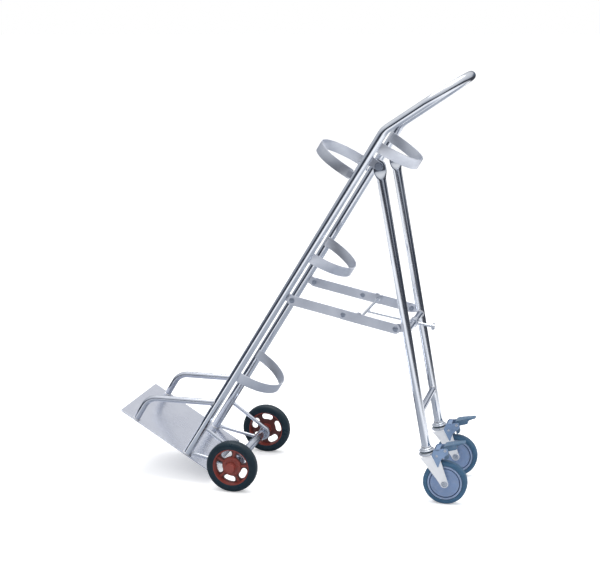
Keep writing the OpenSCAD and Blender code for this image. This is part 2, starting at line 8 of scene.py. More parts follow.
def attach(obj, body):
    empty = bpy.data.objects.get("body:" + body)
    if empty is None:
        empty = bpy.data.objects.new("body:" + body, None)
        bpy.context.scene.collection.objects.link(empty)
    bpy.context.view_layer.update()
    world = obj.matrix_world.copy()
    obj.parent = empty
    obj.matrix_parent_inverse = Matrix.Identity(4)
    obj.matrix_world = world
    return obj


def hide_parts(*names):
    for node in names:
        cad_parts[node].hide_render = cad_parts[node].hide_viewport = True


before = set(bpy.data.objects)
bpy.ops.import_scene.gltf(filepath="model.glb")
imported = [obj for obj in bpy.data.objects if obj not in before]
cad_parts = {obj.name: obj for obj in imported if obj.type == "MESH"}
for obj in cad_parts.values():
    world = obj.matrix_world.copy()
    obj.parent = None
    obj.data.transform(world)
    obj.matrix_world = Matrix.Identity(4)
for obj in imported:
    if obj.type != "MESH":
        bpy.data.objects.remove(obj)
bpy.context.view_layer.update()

# ---- the part's own dimensions, in millimetres and degrees ----

LEAN = 31
LEG_TILT = 10.4
RAIL_Y = 131
TUBE_R = 12.5
RAIL_L = 1124
HANDLE_BEND = 25
HANDLE_REACH = 255
ELBOW_R = 60
GRIP_CORNER_R = 125
ROD_R = 9.5                      # guards and crossbars
WHEEL_R = 75
AXLE_BACK = 137
AXLE_R = 8
TRACK_Y = 180
LEG_Y = 117
PIVOT = (38, 1033)               # a pair is how far behind the rails, and how far up along them
CASTER_R = 62.5
TRAIL = 37.5
PLATE = (-235, 90)
PLATE_T = 3
GUARD = [(-183, PLATE_T), (-183, 82), (0, 192)]
RINGS = (290, 711, 1076)
RING_R = 117.5
STRIP_HALF_W = 15
STRIP_CORNER = 0.8
GATE_UP = 972
GATE_R = 119
GATE_FRONT = -30.5               # where the gate's straight ends turn into its half circle
GATE_HINGE = (-19, 122.5)
STRUT_R = 5.5
STRUT_START = 8.5
STRUT_UPS = (103, 10)
STAY_Y = 129.9
REAR_STAY_Y = 133.3
STAY_START = (28, 580)
STAY_END_ON_LEG = (-27, -449)
BAR_T = 3
BAR_HALF_W = 14
TIE_ROD = 47                     # from the stay's middle rivet back to the rod that joins the two stays
CROSSBARS = (464, 697)


def deg(angle):
    return math.radians(angle)


def shift(x, y, z):
    return Matrix.Translation((x, y, z))


def turn(angle, axis):
    return Matrix.Rotation(deg(angle), 4, axis)


def on_upright(u, v):
    return Vector((u * math.cos(deg(LEAN)) + v * math.sin(deg(LEAN)), 0,
                   v * math.cos(deg(LEAN)) - u * math.sin(deg(LEAN))))


MM = Matrix.Scale(0.001, 4)
FOOT_Z = WHEEL_R - on_upright(AXLE_BACK, WHEEL_R).z
pivot_from_foot = on_upright(*PIVOT)
pivot_z = FOOT_Z + pivot_from_foot.z
DROP = (pivot_z - CASTER_R + TRAIL * math.sin(deg(LEG_TILT))) / math.cos(deg(LEG_TILT))
caster_x = pivot_from_foot.x + DROP * math.sin(deg(LEG_TILT)) + TRAIL * math.cos(deg(LEG_TILT))
FOOT_X = -(PLATE[0] * math.cos(deg(LEAN)) + caster_x + CASTER_R) / 2
UP = MM @ shift(FOOT_X, 0, FOOT_Z) @ turn(LEAN, "Y")
LEGS = MM @ shift(FOOT_X + pivot_from_foot.x, 0, pivot_z) @ turn(-LEG_TILT, "Y")
stay_end = UP.inverted() @ LEGS @ Vector((STAY_END_ON_LEG[0], 0, STAY_END_ON_LEG[1]))
stay_run = Vector((stay_end.x - STAY_START[0], stay_end.z - STAY_START[1]))
STAY_L = stay_run.length / 2
stay_rise = math.degrees(math.atan2(stay_run.y, stay_run.x))
STAYS = UP @ shift(STAY_START[0], 0, STAY_START[1]) @ turn(-stay_rise, "Y")
AXLE = UP @ shift(AXLE_BACK, 0, WHEEL_R)
FACE = turn(90, "X")          # takes a drawing in x and y to x and z, and its thickness to y

# ---- mesh helpers: points in millimetres, in a local frame ----


def arc(centre, radius, start, end, step=6):
    count = max(2, int(abs(end - start) / step) + 1)
    angles = [deg(start + (end - start) * i / (count - 1)) for i in range(count)]
    return [(centre[0] + radius * math.cos(a), centre[1] + radius * math.sin(a)) for a in angles]


def circle(radius, count=48):
    return [(radius * math.cos(2 * math.pi * i / count), radius * math.sin(2 * math.pi * i / count))
            for i in range(count)]


def rounded(corners, radii, step=5):
    """A path through 3-D corners, each inner one rounded to its radius."""
    points = [Vector(corners[0])]
    for i in range(1, len(corners) - 1):
        here = Vector(corners[i])
        back = (Vector(corners[i - 1]) - here).normalized()
        ahead = (Vector(corners[i + 1]) - here).normalized()
        half = back.angle(ahead) / 2
        radius = radii[i - 1]
        centre = here + (back + ahead).normalized() * (radius / math.sin(half))
        first = here + back * (radius / math.tan(half)) - centre
        last = here + ahead * (radius / math.tan(half)) - centre
        sweep_angle = math.pi - 2 * half
        count = max(3, int(math.degrees(sweep_angle) / step) + 1)
        axis = first.cross(last).normalized()
        points += [centre + Matrix.Rotation(sweep_angle * k / count, 3, axis) @ first
                   for k in range(count + 1)]
    return points + [Vector(corners[-1])]


def finish_mesh(name, bm, matrix, material, body, nodes=(), bevel=0.0, angle=35):
    """Turns the drawing into a piece. Nodes are the CAD nodes that it stands for."""
    bmesh.ops.remove_doubles(bm, verts=bm.verts, dist=1e-4)
    bmesh.ops.recalc_face_normals(bm, faces=bm.faces)
    mesh = bpy.data.meshes.new(name)
    bm.to_mesh(mesh)
    bm.free()
    return place(name, mesh, matrix, material, body, nodes, bevel, angle)


def place(name, mesh, matrix, material, body, nodes=(), bevel=0.0, angle=35):
    mesh.transform(matrix)
    if matrix.determinant() < 0:
        mesh.flip_normals()
    mesh.shade_smooth()
    mesh.set_sharp_from_angle(angle=deg(angle))
    mesh.materials.clear()
    mesh.materials.append(material)
    piece = bpy.data.objects.new(name, mesh)
    bpy.context.scene.collection.objects.link(piece)
    if bevel:
        round_edges(piece, bevel, 3, angle)
    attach(piece, body)
    if nodes:
        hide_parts(*nodes)
    return piece


def round_edges(piece, width, segments, angle):
    cut = piece.modifiers.new("edges", "BEVEL")
    cut.width = width / 1000
    cut.segments = segments
    cut.limit_method = "ANGLE"
    cut.angle_limit = deg(angle)
    piece.modifiers.new("normals", "WEIGHTED_NORMAL")


def sweep(bm, points, profile, up=None, closed=False, sizes=None):
    """Carries a closed profile along a path. With up, the profile's second axis stays along it."""
    points = [Vector(p) for p in points]
    n = len(points)
    rings = []
    normal = None
    for i, p in enumerate(points):
        before = points[i - 1] if i or closed else p
        after = points[(i + 1) % n] if i < n - 1 or closed else p
        tangent = (after - before).normalized()
        if up is not None:
            second = Vector(up)
            first = second.cross(tangent).normalized()
            second = tangent.cross(first).normalized()
        else:
            if normal is None:
                normal = tangent.orthogonal()
            normal = (normal - tangent * normal.dot(tangent)).normalized()
            first, second = normal, tangent.cross(normal)
        scale = sizes[i] if sizes else 1.0
        rings.append([bm.verts.new(p + (first * x + second * y) * scale) for x, y in profile])
    m = len(profile)
    for i in range(n if closed else n - 1):
        a, b = rings[i], rings[(i + 1) % n]
        for j in range(m):
            bm.faces.new((a[j], a[(j + 1) % m], b[(j + 1) % m], b[j]))
    if not closed:
        bm.faces.new(rings[0])
        bm.faces.new(rings[-1])


def lathe(bm, profile, count=72, matrix=None):
    """Turns (radius, height) points around z."""
    rings = []
    for radius, height in profile:
        if radius < 1e-6:
            rings.append([bm.verts.new((0, 0, height))])
            continue
        rings.append([bm.verts.new((radius * math.cos(2 * math.pi * i / count),
                                    radius * math.sin(2 * math.pi * i / count), height))
                      for i in range(count)])
    new = [v for ring in rings for v in ring]
    for a, b in zip(rings, rings[1:]):
        for i in range(count):
            j = (i + 1) % count
            if len(a) == 1:
                bm.faces.new((a[0], b[i], b[j]))
            elif len(b) == 1:
                bm.faces.new((a[i], a[j], b[0]))
            else:
                bm.faces.new((a[i], a[j], b[j], b[i]))
    if matrix is not None:
        bmesh.ops.transform(bm, matrix=matrix, verts=new)


def slab(bm, outline, low, high, matrix=None):
    """A flat plate between two heights."""
    bottom = [bm.verts.new((x, y, low)) for x, y in outline]
    top = [bm.verts.new((x, y, high)) for x, y in outline]
    n = len(outline)
    for i in range(n):
        j = (i + 1) % n
        bm.faces.new((bottom[i], bottom[j], top[j], top[i]))
    bm.faces.new(top)
    bm.faces.new(bottom[::-1])
    if matrix is not None:
        bmesh.ops.transform(bm, matrix=matrix, verts=bottom + top)


def holed_plate(loops, thickness, edge):
    """A plate with holes and rounded edges, its middle plane at z = 0."""
    curve = bpy.data.curves.new("plate", "CURVE")
    curve.dimensions = "2D"
    curve.fill_mode = "BOTH"
    curve.extrude = thickness / 2 - edge
    curve.bevel_depth = edge
    curve.offset = -edge
    curve.bevel_resolution = 2
    for loop in loops:
        spline = curve.splines.new("POLY")
        spline.points.add(len(loop) - 1)
        for point, (x, y) in zip(spline.points, loop):
            point.co = (x, y, 0, 1)
        spline.use_cyclic_u = True
    carrier = bpy.data.objects.new("plate", curve)
    bpy.context.scene.collection.objects.link(carrier)
    bpy.context.view_layer.update()
    mesh = bpy.data.meshes.new_from_object(carrier.evaluated_get(bpy.context.evaluated_depsgraph_get()))
    bpy.data.objects.remove(carrier)
    bpy.data.curves.remove(curve)
    return mesh


BEAD_STEP = 0.7
RIPPLE = 0.16


def bead(bm, points, radius=1.7, closed=True):
    """A rippled weld bead along a path."""
    dense = []
    points = [Vector(p) for p in points]
    pairs = list(zip(points, points[1:] + points[:1])) if closed else list(zip(points, points[1:]))
    for a, b in pairs:
        count = max(1, int((b - a).length / BEAD_STEP))
        dense += [a.lerp(b, k / count) for k in range(count)]
    if not closed:
        dense.append(points[-1])
    n = len(dense)
    sizes = []
    for i in range(n):
        taper = 1.0 if closed else min(1.0, 0.35 + min(i, n - 1 - i) * 0.25)
        sizes.append(taper * (1 + RIPPLE * math.sin(i * 2.1)))
    sweep(bm, dense, [(radius * x, radius * y) for x, y in circle(1, 8)], closed=closed, sizes=sizes)


def weld_curve(start, direction, r, axis_point, axis, main_r, lift=0.4, count=40):
    """Where a tube of radius r meets a wider one: points on the outside of both."""
    start, d = Vector(start), Vector(direction).normalized()
    base, a = Vector(axis_point), Vector(axis).normalized()
    first = d.orthogonal().normalized()
    second = d.cross(first)
    found = []
    for i in range(count):
        angle = 2 * math.pi * i / count
        p = start + (first * math.cos(angle) + second * math.sin(angle)) * (r + lift)
        w, dd = (p - base) - a * (p - base).dot(a), d - a * d.dot(a)
        qa, qb, qc = dd.dot(dd), 2 * w.dot(dd), w.dot(w) - (main_r + lift) ** 2
        root = max(qb * qb - 4 * qa * qc, 0)
        found.append(p + d * ((-qb - math.sqrt(root)) / (2 * qa)))
    return found


def hexagon(bm, radius, low, high, matrix):
    """A hexagonal head or nut with its corners turned down."""
    chamfer = 1.0
    outline = [(radius * math.cos(deg(60 * k)), radius * math.sin(deg(60 * k))) for k in range(6)]
    inner = [(x * (1 - chamfer / radius), y * (1 - chamfer / radius)) for x, y in outline]
    rows = [[bm.verts.new((x, y, low)) for x, y in outline],
            [bm.verts.new((x, y, high - chamfer * 0.5)) for x, y in outline],
            [bm.verts.new((x, y, high)) for x, y in inner]]
    for a, b in zip(rows, rows[1:]):
        for i in range(6):
            j = (i + 1) % 6
            bm.faces.new((a[i], a[j], b[j], b[i]))
    bm.faces.new(rows[-1])
    bm.faces.new(rows[0][::-1])
    bmesh.ops.transform(bm, matrix=matrix, verts=[v for row in rows for v in row])


def outward(side, distance):
    """A frame whose z points away from the middle plane, starting at a distance from it."""
    return shift(0, side * distance, 0) @ turn(-90 * side, "X")


# ---- materials ----


class Nodes:
    """A material's node tree with short ways to add and join nodes."""

    def __init__(self, name):
        self.material = bpy.data.materials.new(name)
        self.material.use_nodes = True
        self.tree = self.material.node_tree
        self.shader = self.tree.nodes["Principled BSDF"]

    def add(self, kind, inputs=(), **settings):
        node = self.tree.nodes.new(kind)
        for key, value in settings.items():
            setattr(node, key, value)
        for key, value in dict(inputs).items():
            if isinstance(value, bpy.types.NodeSocket):
                self.tree.links.new(value, node.inputs[key])
            else:
                node.inputs[key].default_value = value
        return node

    def join(self, output, socket):
        self.tree.links.new(output, self.shader.inputs[socket])

    def coordinates(self, tilt=0, stretch=(1, 1, 1)):
        """Object coordinates turned by the piece's lean, then stretched."""
        coords = self.add("ShaderNodeTexCoord").outputs["Object"]
        turned = self.add("ShaderNodeMapping", {"Vector": coords, "Rotation": (0, deg(-tilt), 0)})
        return self.add("ShaderNodeMapping", {"Vector": turned.outputs[0], "Scale": stretch}).outputs[0]

    def noise(self, vector, scale, detail=4.0, roughness=0.55):
        return self.add("ShaderNodeTexNoise", {"Vector": vector, "Scale": scale, "Detail": detail,
                                               "Roughness": roughness}).outputs["Fac"]

    def spread(self, value, low, high, start=0.3, end=0.7):
        return self.add("ShaderNodeMapRange", {"Value": value, "From Min": start, "From Max": end,
                                               "To Min": low, "To Max": high}).outputs[0]

    def blend(self, factor, a, b):
        node = self.add("ShaderNodeMix", {"Factor": factor}, data_type="RGBA")
        for socket, value in ((node.inputs[6], a), (node.inputs[7], b)):
            if isinstance(value, bpy.types.NodeSocket):
                self.tree.links.new(value, socket)
            else:
                socket.default_value = (*value, 1)
        return node.outputs[2]

    def bump(self, *layers):
        normal = None
        for height, strength, distance in layers:
            node = self.add("ShaderNodeBump", {"Height": height, "Strength": strength,
                                               "Distance": distance})
            if normal is not None:
                self.tree.links.new(normal, node.inputs["Normal"])
            normal = node.outputs[0]
        self.join(normal, "Normal")

    def edges(self, start=0.52, end=0.6):
        point = self.add("ShaderNodeNewGeometry").outputs["Pointiness"]
        return self.spread(point, 0, 1, start, end)


def metal(name, colour, dull, rough, grain, tilt=0, stretch=(1, 1, 1), scale=900, smudge=0.06,
          metallic=1.0):
    """Bare steel: a drawn or brushed grain, cloudy handling marks and brighter edges."""
    m = Nodes(name)
    m.shader.inputs["Metallic"].default_value = metallic
    plain = m.coordinates()
    cloudy = m.noise(plain, 14, 5)
    fine = m.noise(m.coordinates(tilt, stretch), scale, 3, 0.6)
    tone = m.blend(m.spread(cloudy, 0, 1, 0.35, 0.7), colour, dull)
    tone = m.blend(m.edges(), tone, tuple(min(1, c * 1.15) for c in colour))
    m.join(tone, "Base Color")
    smudged = m.spread(cloudy, rough, rough + smudge)
    rubbed = m.add("ShaderNodeMath", {0: smudged, 1: m.spread(fine, -0.03, 0.05)},
                   operation="ADD").outputs[0]
    m.join(rubbed, "Roughness")
    pits = m.noise(plain, 260, 2)
    m.bump((fine, grain, 0.0002), (pits, 0.03, 0.0004))
    return m.material


def paint(name, colour, worn, rough):
    """Enamel over metal: orange peel, dust and painted shade darkening the hollows, chips along the edges."""
    m = Nodes(name)
    plain = m.coordinates()
    cloudy = m.noise(plain, 30, 6)
    tone = m.blend(m.spread(cloudy, 0, 1, 0.3, 0.75), colour, tuple(c * 0.78 for c in colour))
    # Pointiness darkens the hollows towards near-black brown: dust and painted shade.
    hollow = m.spread(m.add("ShaderNodeNewGeometry").outputs["Pointiness"], 1, 0, 0.42, 0.5)
    hollow_dust_and_shade = m.add("ShaderNodeMath", {0: hollow, 1: 0.55}, operation="MULTIPLY").outputs[0]
    tone = m.blend(hollow_dust_and_shade, tone, (0.06, 0.04, 0.035))
    edges = m.edges(0.55, 0.62)
    flakes = m.spread(m.noise(plain, 420, 3), 0, 1, 0.5, 0.6)
    chips = m.add("ShaderNodeMath", {0: edges, 1: flakes}, operation="MULTIPLY").outputs[0]
    m.join(m.blend(chips, tone, worn), "Base Color")
    m.join(m.spread(cloudy, rough, rough + 0.16), "Roughness")
    m.shader.inputs["Coat Weight"].default_value = 0.25
    m.shader.inputs["Coat Roughness"].default_value = 0.2
    m.bump((m.noise(plain, 700, 2), 0.12, 0.0003), (m.noise(plain, 60, 4), 0.08, 0.0006))
    return m.material


def moulded(name, colour, rough, grain=0.18, scuff=(0.62, 0.66, 0.7), dust=0.12):
    """Moulded plastic or rubber: a fine eroded grain, scuffed edges and a film of dust."""
    m = Nodes(name)
    plain = m.coordinates()
    cloudy = m.noise(plain, 22, 6, 0.62)
    fine = m.noise(plain, 1500, 2)
    tone = m.blend(m.spread(cloudy, 0, 1), colour, tuple(c * 0.8 for c in colour))
    wear = m.add("ShaderNodeMath", {0: m.edges(0.53, 0.63), 1: 0.3}, operation="MULTIPLY").outputs[0]
    tone = m.blend(wear, tone, scuff)
    film = m.spread(m.noise(plain, 90, 5), 0, dust, 0.45, 0.75)
    m.join(m.blend(film, tone, (0.45, 0.44, 0.42)), "Base Color")
    m.join(m.spread(cloudy, rough, rough + 0.18), "Roughness")
    m.bump((fine, grain, 0.0002), (m.noise(plain, 180, 3), 0.06, 0.0005))
    return m.material


CHROME, CHROME_DULL = (0.74, 0.77, 0.82), (0.66, 0.69, 0.75)
STEEL, STEEL_DULL = (0.62, 0.65, 0.72), (0.52, 0.55, 0.62)
DRAWN = (1, 1, 0.02)             # grain along a tube
ROLLED = (0.03, 1, 1)            # grain along a sheet or bar
STAY_TILT = 13                   # the stays' slope, which their grain follows
chrome_rail = metal("polished_rail_tube", CHROME, CHROME_DULL, 0.07, 0.04, LEAN, DRAWN, smudge=0.05)
chrome_leg = metal("polished_leg_tube", CHROME, CHROME_DULL, 0.075, 0.04, -LEG_TILT, DRAWN, smudge=0.05)
chrome_rod = metal("polished_rod", STEEL, STEEL_DULL, 0.14, 0.06)
sheet_steel = metal("polished_sheet", (0.70, 0.72, 0.79), (0.62, 0.64, 0.72), 0.20, 0.08, LEAN, ROLLED,
                    1400, 0.07)
strip_steel = metal("brushed_strip", (0.74, 0.765, 0.82), (0.60, 0.63, 0.70), 0.30, 0.16, LEAN,
                    (0.12, 0.12, 1), 1600, 0.1)
bar_steel = metal("brushed_flat_bar", STEEL, STEEL_DULL, 0.32, 0.16, STAY_TILT, ROLLED, 1600, 0.1)
lug_plate = metal("satin_lug_plate", (0.60, 0.63, 0.70), (0.48, 0.51, 0.58), 0.30, 0.12)
weld_steel = metal("weld_metal", (0.62, 0.63, 0.66), (0.44, 0.42, 0.42), 0.34, 0.3, scale=600,
                   smudge=0.15)
bolt_steel = metal("fastener_steel", (0.36, 0.40, 0.48), (0.22, 0.25, 0.31), 0.34, 0.12)
zinc = metal("bright_zinc", (0.72, 0.75, 0.80), (0.58, 0.62, 0.68), 0.24, 0.12)
pressed_zinc = metal("zinc_pressing", (0.93, 0.935, 0.95), (0.86, 0.87, 0.90), 0.42, 0.1, metallic=0.4)
red_enamel = paint("red_brown_enamel", (0.25, 0.040, 0.028), (0.38, 0.30, 0.28), 0.45)
# A darker copy of the red-brown enamel for the recessed web between the slots: painted shade.
painted_shade_enamel = paint("red_brown_enamel_painted_shade_in_the_web", (0.10, 0.020, 0.016), (0.24, 0.10, 0.08), 0.45)
blue_enamel = paint("blue_grey_enamel", (0.20, 0.30, 0.48), (0.55, 0.57, 0.6), 0.36)
tyre_rubber = moulded("tyre_rubber", (0.005, 0.019, 0.031), 0.26, 0.16, (0.04, 0.09, 0.13), 0.012)
tyre_rubber.node_tree.nodes["Principled BSDF"].inputs["Specular IOR Level"].default_value = 0.32
pedal_plastic = moulded("pedal_plastic", (0.065, 0.145, 0.25), 0.38)
core_nylon = moulded("caster_nylon", (0.20, 0.29, 0.48), 0.38)
tread_rubber = moulded("caster_tread_rubber", (0.033, 0.112, 0.21), 0.40, 0.2, (0.22, 0.32, 0.42), 0.05)

# ---- upright frame ----

SIDES = {"left": -1, "right": 1}
handle_dir = Vector((math.sin(deg(HANDLE_BEND)), 0, math.cos(deg(HANDLE_BEND))))
elbow = Vector((0, -RAIL_Y, RAIL_L))
grip_corner = elbow + handle_dir * HANDLE_REACH
half = [Vector((0, -RAIL_Y, PLATE_T)), elbow, grip_corner]
corners = half + [Vector((p.x, -p.y, p.z)) for p in reversed(half)]
bm = bmesh.new()
sweep(bm, rounded(corners, [ELBOW_R, GRIP_CORNER_R, GRIP_CORNER_R, ELBOW_R], 4), circle(TUBE_R))
finish_mesh("frame_loop", bm, UP, chrome_rail, "frame", ("rail_left", "rail_right", "handle_tube"))

bm = bmesh.new()
CORNER_R = 6
front, back = PLATE[0] + CORNER_R, PLATE[1] - CORNER_R
corner_y = RAIL_Y + TUBE_R - CORNER_R
outline = []
for x, y, start in ((front, -corner_y, 180), (back, -corner_y, 270), (back, corner_y, 0),
                    (front, corner_y, 90)):
    outline += arc((x, y), CORNER_R, start, start + 90, 15)
slab(bm, outline, 0, PLATE_T)
finish_mesh("toe_plate_sheet", bm, UP, sheet_steel, "frame", ("toe_plate",), bevel=0.7)

guard_dir = Vector((GUARD[2][0] - GUARD[1][0], 0, GUARD[2][1] - GUARD[1][1])).normalized()
GUARD_NEAR_RAIL = (-60, 156)
bm_weld = bmesh.new()
for name, side in SIDES.items():
    y = side * RAIL_Y
    bm = bmesh.new()
    path = rounded([(u, y, v) for u, v in GUARD], [48], 4)
    path[-1] -= guard_dir * 6    # the rod ends inside the rail's tube
    sweep(bm, path, circle(ROD_R, 40))
    finish_mesh(f"guard_rod_{name}", bm, UP, chrome_rod, "frame", (f"guard_{name}",))
    near_rail = (GUARD_NEAR_RAIL[0], y, GUARD_NEAR_RAIL[1])
    bead(bm_weld, weld_curve(near_rail, guard_dir, ROD_R, (0, y, 0), (0, 0, 1), TUBE_R))
    for x, r in ((GUARD[0][0], ROD_R), (0, TUBE_R)):
        bead(bm_weld, [(x + (r + 0.6) * c, y + (r + 0.6) * s, 3.6) for c, s in circle(1, 40)], 1.9)

# Half rings of strip, with a bead at each end. The section is drawn twice as thick and then halved.
STRIP = []
for side_x, side_z, start in ((1, 1, 0), (-1, 1, 90), (-1, -1, 180), (1, -1, 270)):
    centre = (side_x * (3 - STRIP_CORNER), side_z * (STRIP_HALF_W - STRIP_CORNER))
    STRIP += [(x / 2, z) for x, z in arc(centre, STRIP_CORNER, start, start + 90, 30)]
for name, up in zip(("lower", "middle", "upper"), RINGS):
    bm = bmesh.new()
    sweep(bm, [(x, y, up) for x, y in arc((0, 0), RING_R, -91.5, 91.5, 3)], STRIP, up=(0, 0, 1))
    finish_mesh(f"{name}_ring_strip", bm, UP, strip_steel, "frame", (f"{name}_ring",))
    for side in (-1, 1):
        for x in (4.5, -4.5):
            y = side * (RAIL_Y - math.sqrt(TUBE_R ** 2 - x ** 2) + 0.4)
            bead(bm_weld, [(x, y, up + z) for z in (-STRIP_HALF_W, 0, STRIP_HALF_W)], 1.4, closed=False)
        below = up - STRIP_HALF_W - 0.2
        bead(bm_weld, [(5.5, side * (RAIL_Y - 11), below), (-4, side * (RAIL_Y - 11.6), below)], 1.2,
             closed=False)

# ---- front gate: strip, rolled eye, bracket, pin and keeper ----

GATE_END = -16
bm = bmesh.new()
path = [(GATE_END, GATE_R)] + arc((GATE_FRONT, 0), GATE_R, 90, 270, 3) + [(GATE_END, -GATE_R)]
sweep(bm, [(x, y, GATE_UP) for x, y in path], STRIP, up=(0, 0, 1))
lathe(bm, [(2.6, -15), (4.6, -15), (5, -14.6), (5, 14.6), (4.6, 15), (2.6, 15), (2.6, -15)], 40,
      shift(GATE_HINGE[0], GATE_HINGE[1], GATE_UP))
finish_mesh("gate_strip", bm, UP, strip_steel, "gate", ("gate_band",))

bm = bmesh.new()
heading = math.degrees(math.atan2(RAIL_Y - GATE_HINGE[1], -GATE_HINGE[0]))
ear = [(x, y) for x, y in arc((0, 0), 6, 90, 270, 15)] + [(12, -6), (12, 6)]
EAR_T = 3
for low in (GATE_UP + 15.4, GATE_UP - 15.4 - EAR_T):
    slab(bm, ear, 0, EAR_T, shift(GATE_HINGE[0], GATE_HINGE[1], low) @ turn(heading, "Z"))
finish_mesh("gate_hinge_ears", bm, UP, lug_plate, "frame", ("gate_bracket",), bevel=0.5)
for z in (GATE_UP + 16.9, GATE_UP - 16.9):
    bead(bm_weld, [(-9.5, RAIL_Y - 10.5, z), (-11.8, RAIL_Y - 5, z), (-12.8, RAIL_Y, z)], 1.3, closed=False)
bm = bmesh.new()
gate_pin = [(0, -19.9), (2, -19.9), (2.5, -19.4), (2.5, 18.4), (4.5, 18.4), (4.5, 19.6), (3.4, 20.7),
            (1.5, 20.9), (0, 20.9)]
lathe(bm, gate_pin, 32, shift(GATE_HINGE[0], GATE_HINGE[1], GATE_UP))
finish_mesh("gate_hinge_pin", bm, UP, zinc, "frame", ("gate_pin",))
bm = bmesh.new()
keeper = [(-26.8, -123.7), (-4, -123.7), (-4, -121.7), (-12.8, -121.7), (-12.8, -114.3), (-26.8, -114.3),
          (-26.8, -116.3), (-14.8, -116.3), (-14.8, -121.7), (-26.8, -121.7)]
slab(bm, keeper, GATE_UP - 10, GATE_UP + 10)
finish_mesh("gate_keeper_channel", bm, UP, lug_plate, "frame", ("gate_keeper",), bevel=0.5)

# ---- struts, axle and main wheels ----

WRAP_R = TUBE_R + STRUT_R + 0.1


def strut_line(up, over):
    """The strut's slope from a height on the rail to its tangent above (1) or below (-1) the axle."""
    dx, dz = AXLE_BACK - STRUT_START, WHEEL_R - up
    reach = math.hypot(dx, dz)
    return math.degrees(math.atan2(dz, dx) + over * math.asin(WRAP_R / reach))


top, low = strut_line(STRUT_UPS[0], 1), strut_line(STRUT_UPS[1], -1)
bend = arc((AXLE_BACK, WHEEL_R), WRAP_R, 90 + top, low - 90, 6)
for name, side in SIDES.items():
    y = side * RAIL_Y
    bm = bmesh.new()
    line = [(STRUT_START, STRUT_UPS[0])] + bend + [(STRUT_START, STRUT_UPS[1])]
    sweep(bm, [(u, y, v) for u, v in line], circle(STRUT_R, 32))
    finish_mesh(f"strut_rod_{name}", bm, UP, chrome_rod, "frame", (f"strut_{name}",))
    for v, angle in zip(STRUT_UPS, (top, low)):
        ahead = Vector((-math.cos(deg(angle)), 0, -math.sin(deg(angle))))
        start = Vector((STRUT_START, y, v)) - ahead * 60
        bead(bm_weld, weld_curve(start, ahead, STRUT_R, (0, y, 0), (0, 0, 1), TUBE_R), 1.3)
    for edge in (-1, 1):
        round_axle = arc((AXLE_BACK, WHEEL_R), TUBE_R + 0.5, -60, 60, 6)
        bead(bm_weld, [(u, y + edge * 3.2, v) for u, v in round_axle], 1.2, closed=False)

SLEEVE_HALF, NUT_START, AXLE_HALF = 152, 196, 202
bm = bmesh.new()
sleeve_end = [(AXLE_R + 0.2, -SLEEVE_HALF), (TUBE_R - 0.5, -SLEEVE_HALF), (TUBE_R, -SLEEVE_HALF + 0.5)]
lathe(bm, sleeve_end + [(r, -z) for r, z in reversed(sleeve_end)], 56, turn(90, "X"))
finish_mesh("axle_sleeve", bm, AXLE, chrome_rod, "frame", ("axle_tube",))
bm = bmesh.new()
axle_end = [(0, -AXLE_HALF), (AXLE_R - 1, -AXLE_HALF), (AXLE_R, -AXLE_HALF + 1)]
lathe(bm, axle_end + [(r, -z) for r, z in reversed(axle_end)], 40, turn(90, "X"))
finish_mesh("axle_bar", bm, AXLE, zinc, "frame", ("axle_shaft",))
bm = bmesh.new()
for side in (-1, 1):
    spacer = [(AXLE_R, 0), (14.4, 0), (15, 0.6), (15, 8), (14.4, 8.6), (AXLE_R, 8.6)]
    lathe(bm, spacer, 48, outward(side, SLEEVE_HALF))
    hexagon(bm, 12, 0.4, 5.4, outward(side, NUT_START))
finish_mesh("axle_spacers_and_nuts", bm, AXLE, zinc, "frame", ("axle_nuts",), bevel=0.3)

# A tyre with a bead line, a raised sidewall rib, two tread grooves and round shoulders.
flank = [(54, 14.5), (57, 16.2), (61.5, 17), (62.3, 16.4), (63.2, 16.4), (64, 17), (66.2, 16.6)]
crown = [(64 + 11 * math.cos(deg(a)), 6 + 10.6 * math.sin(deg(a))) for a in range(68, 3, -8)]
groove = [(75, 5.2), (75, 4.4), (73.8, 4.0), (73.8, 3.0), (75, 2.6)]
half_tyre = flank + crown + groove
tyre_profile = half_tyre + [(r, -h) for r, h in reversed(half_tyre)]
RIM = [(54, 14), (53.2, 15.2), (51.8, 15), (50.8, 13.6), (50.2, 9), (49.6, 5), (48.6, 3.2)]
SLOTS = 5
SLOT_STEP = 360 / SLOTS
SLOT_MID_R, SLOT_HALF_W, SLOT_HALF_ANGLE = 38.6, 9.2, 12
FIRST_SLOT = {"left": 115 + LEAN, "right": -(86 + LEAN)}
SLOT_START = 2                   # the web's own angle of its first slot
WEB_R = 49.6
RIVET_RING_R = 21.5


def slot_end(angle, start):
    middle = (SLOT_MID_R * math.cos(deg(angle)), SLOT_MID_R * math.sin(deg(angle)))
    return arc(middle, SLOT_HALF_W, start, start + 180, 20)[1:-1]


def kidney(angle):
    """A curved slot with round ends."""
    start, end = angle - SLOT_HALF_ANGLE, angle + SLOT_HALF_ANGLE
    outer = arc((0, 0), SLOT_MID_R + SLOT_HALF_W, start, end, 4)
    inner = arc((0, 0), SLOT_MID_R - SLOT_HALF_W, end, start, 4)
    return outer + slot_end(end, end) + inner + slot_end(start, start + 180)


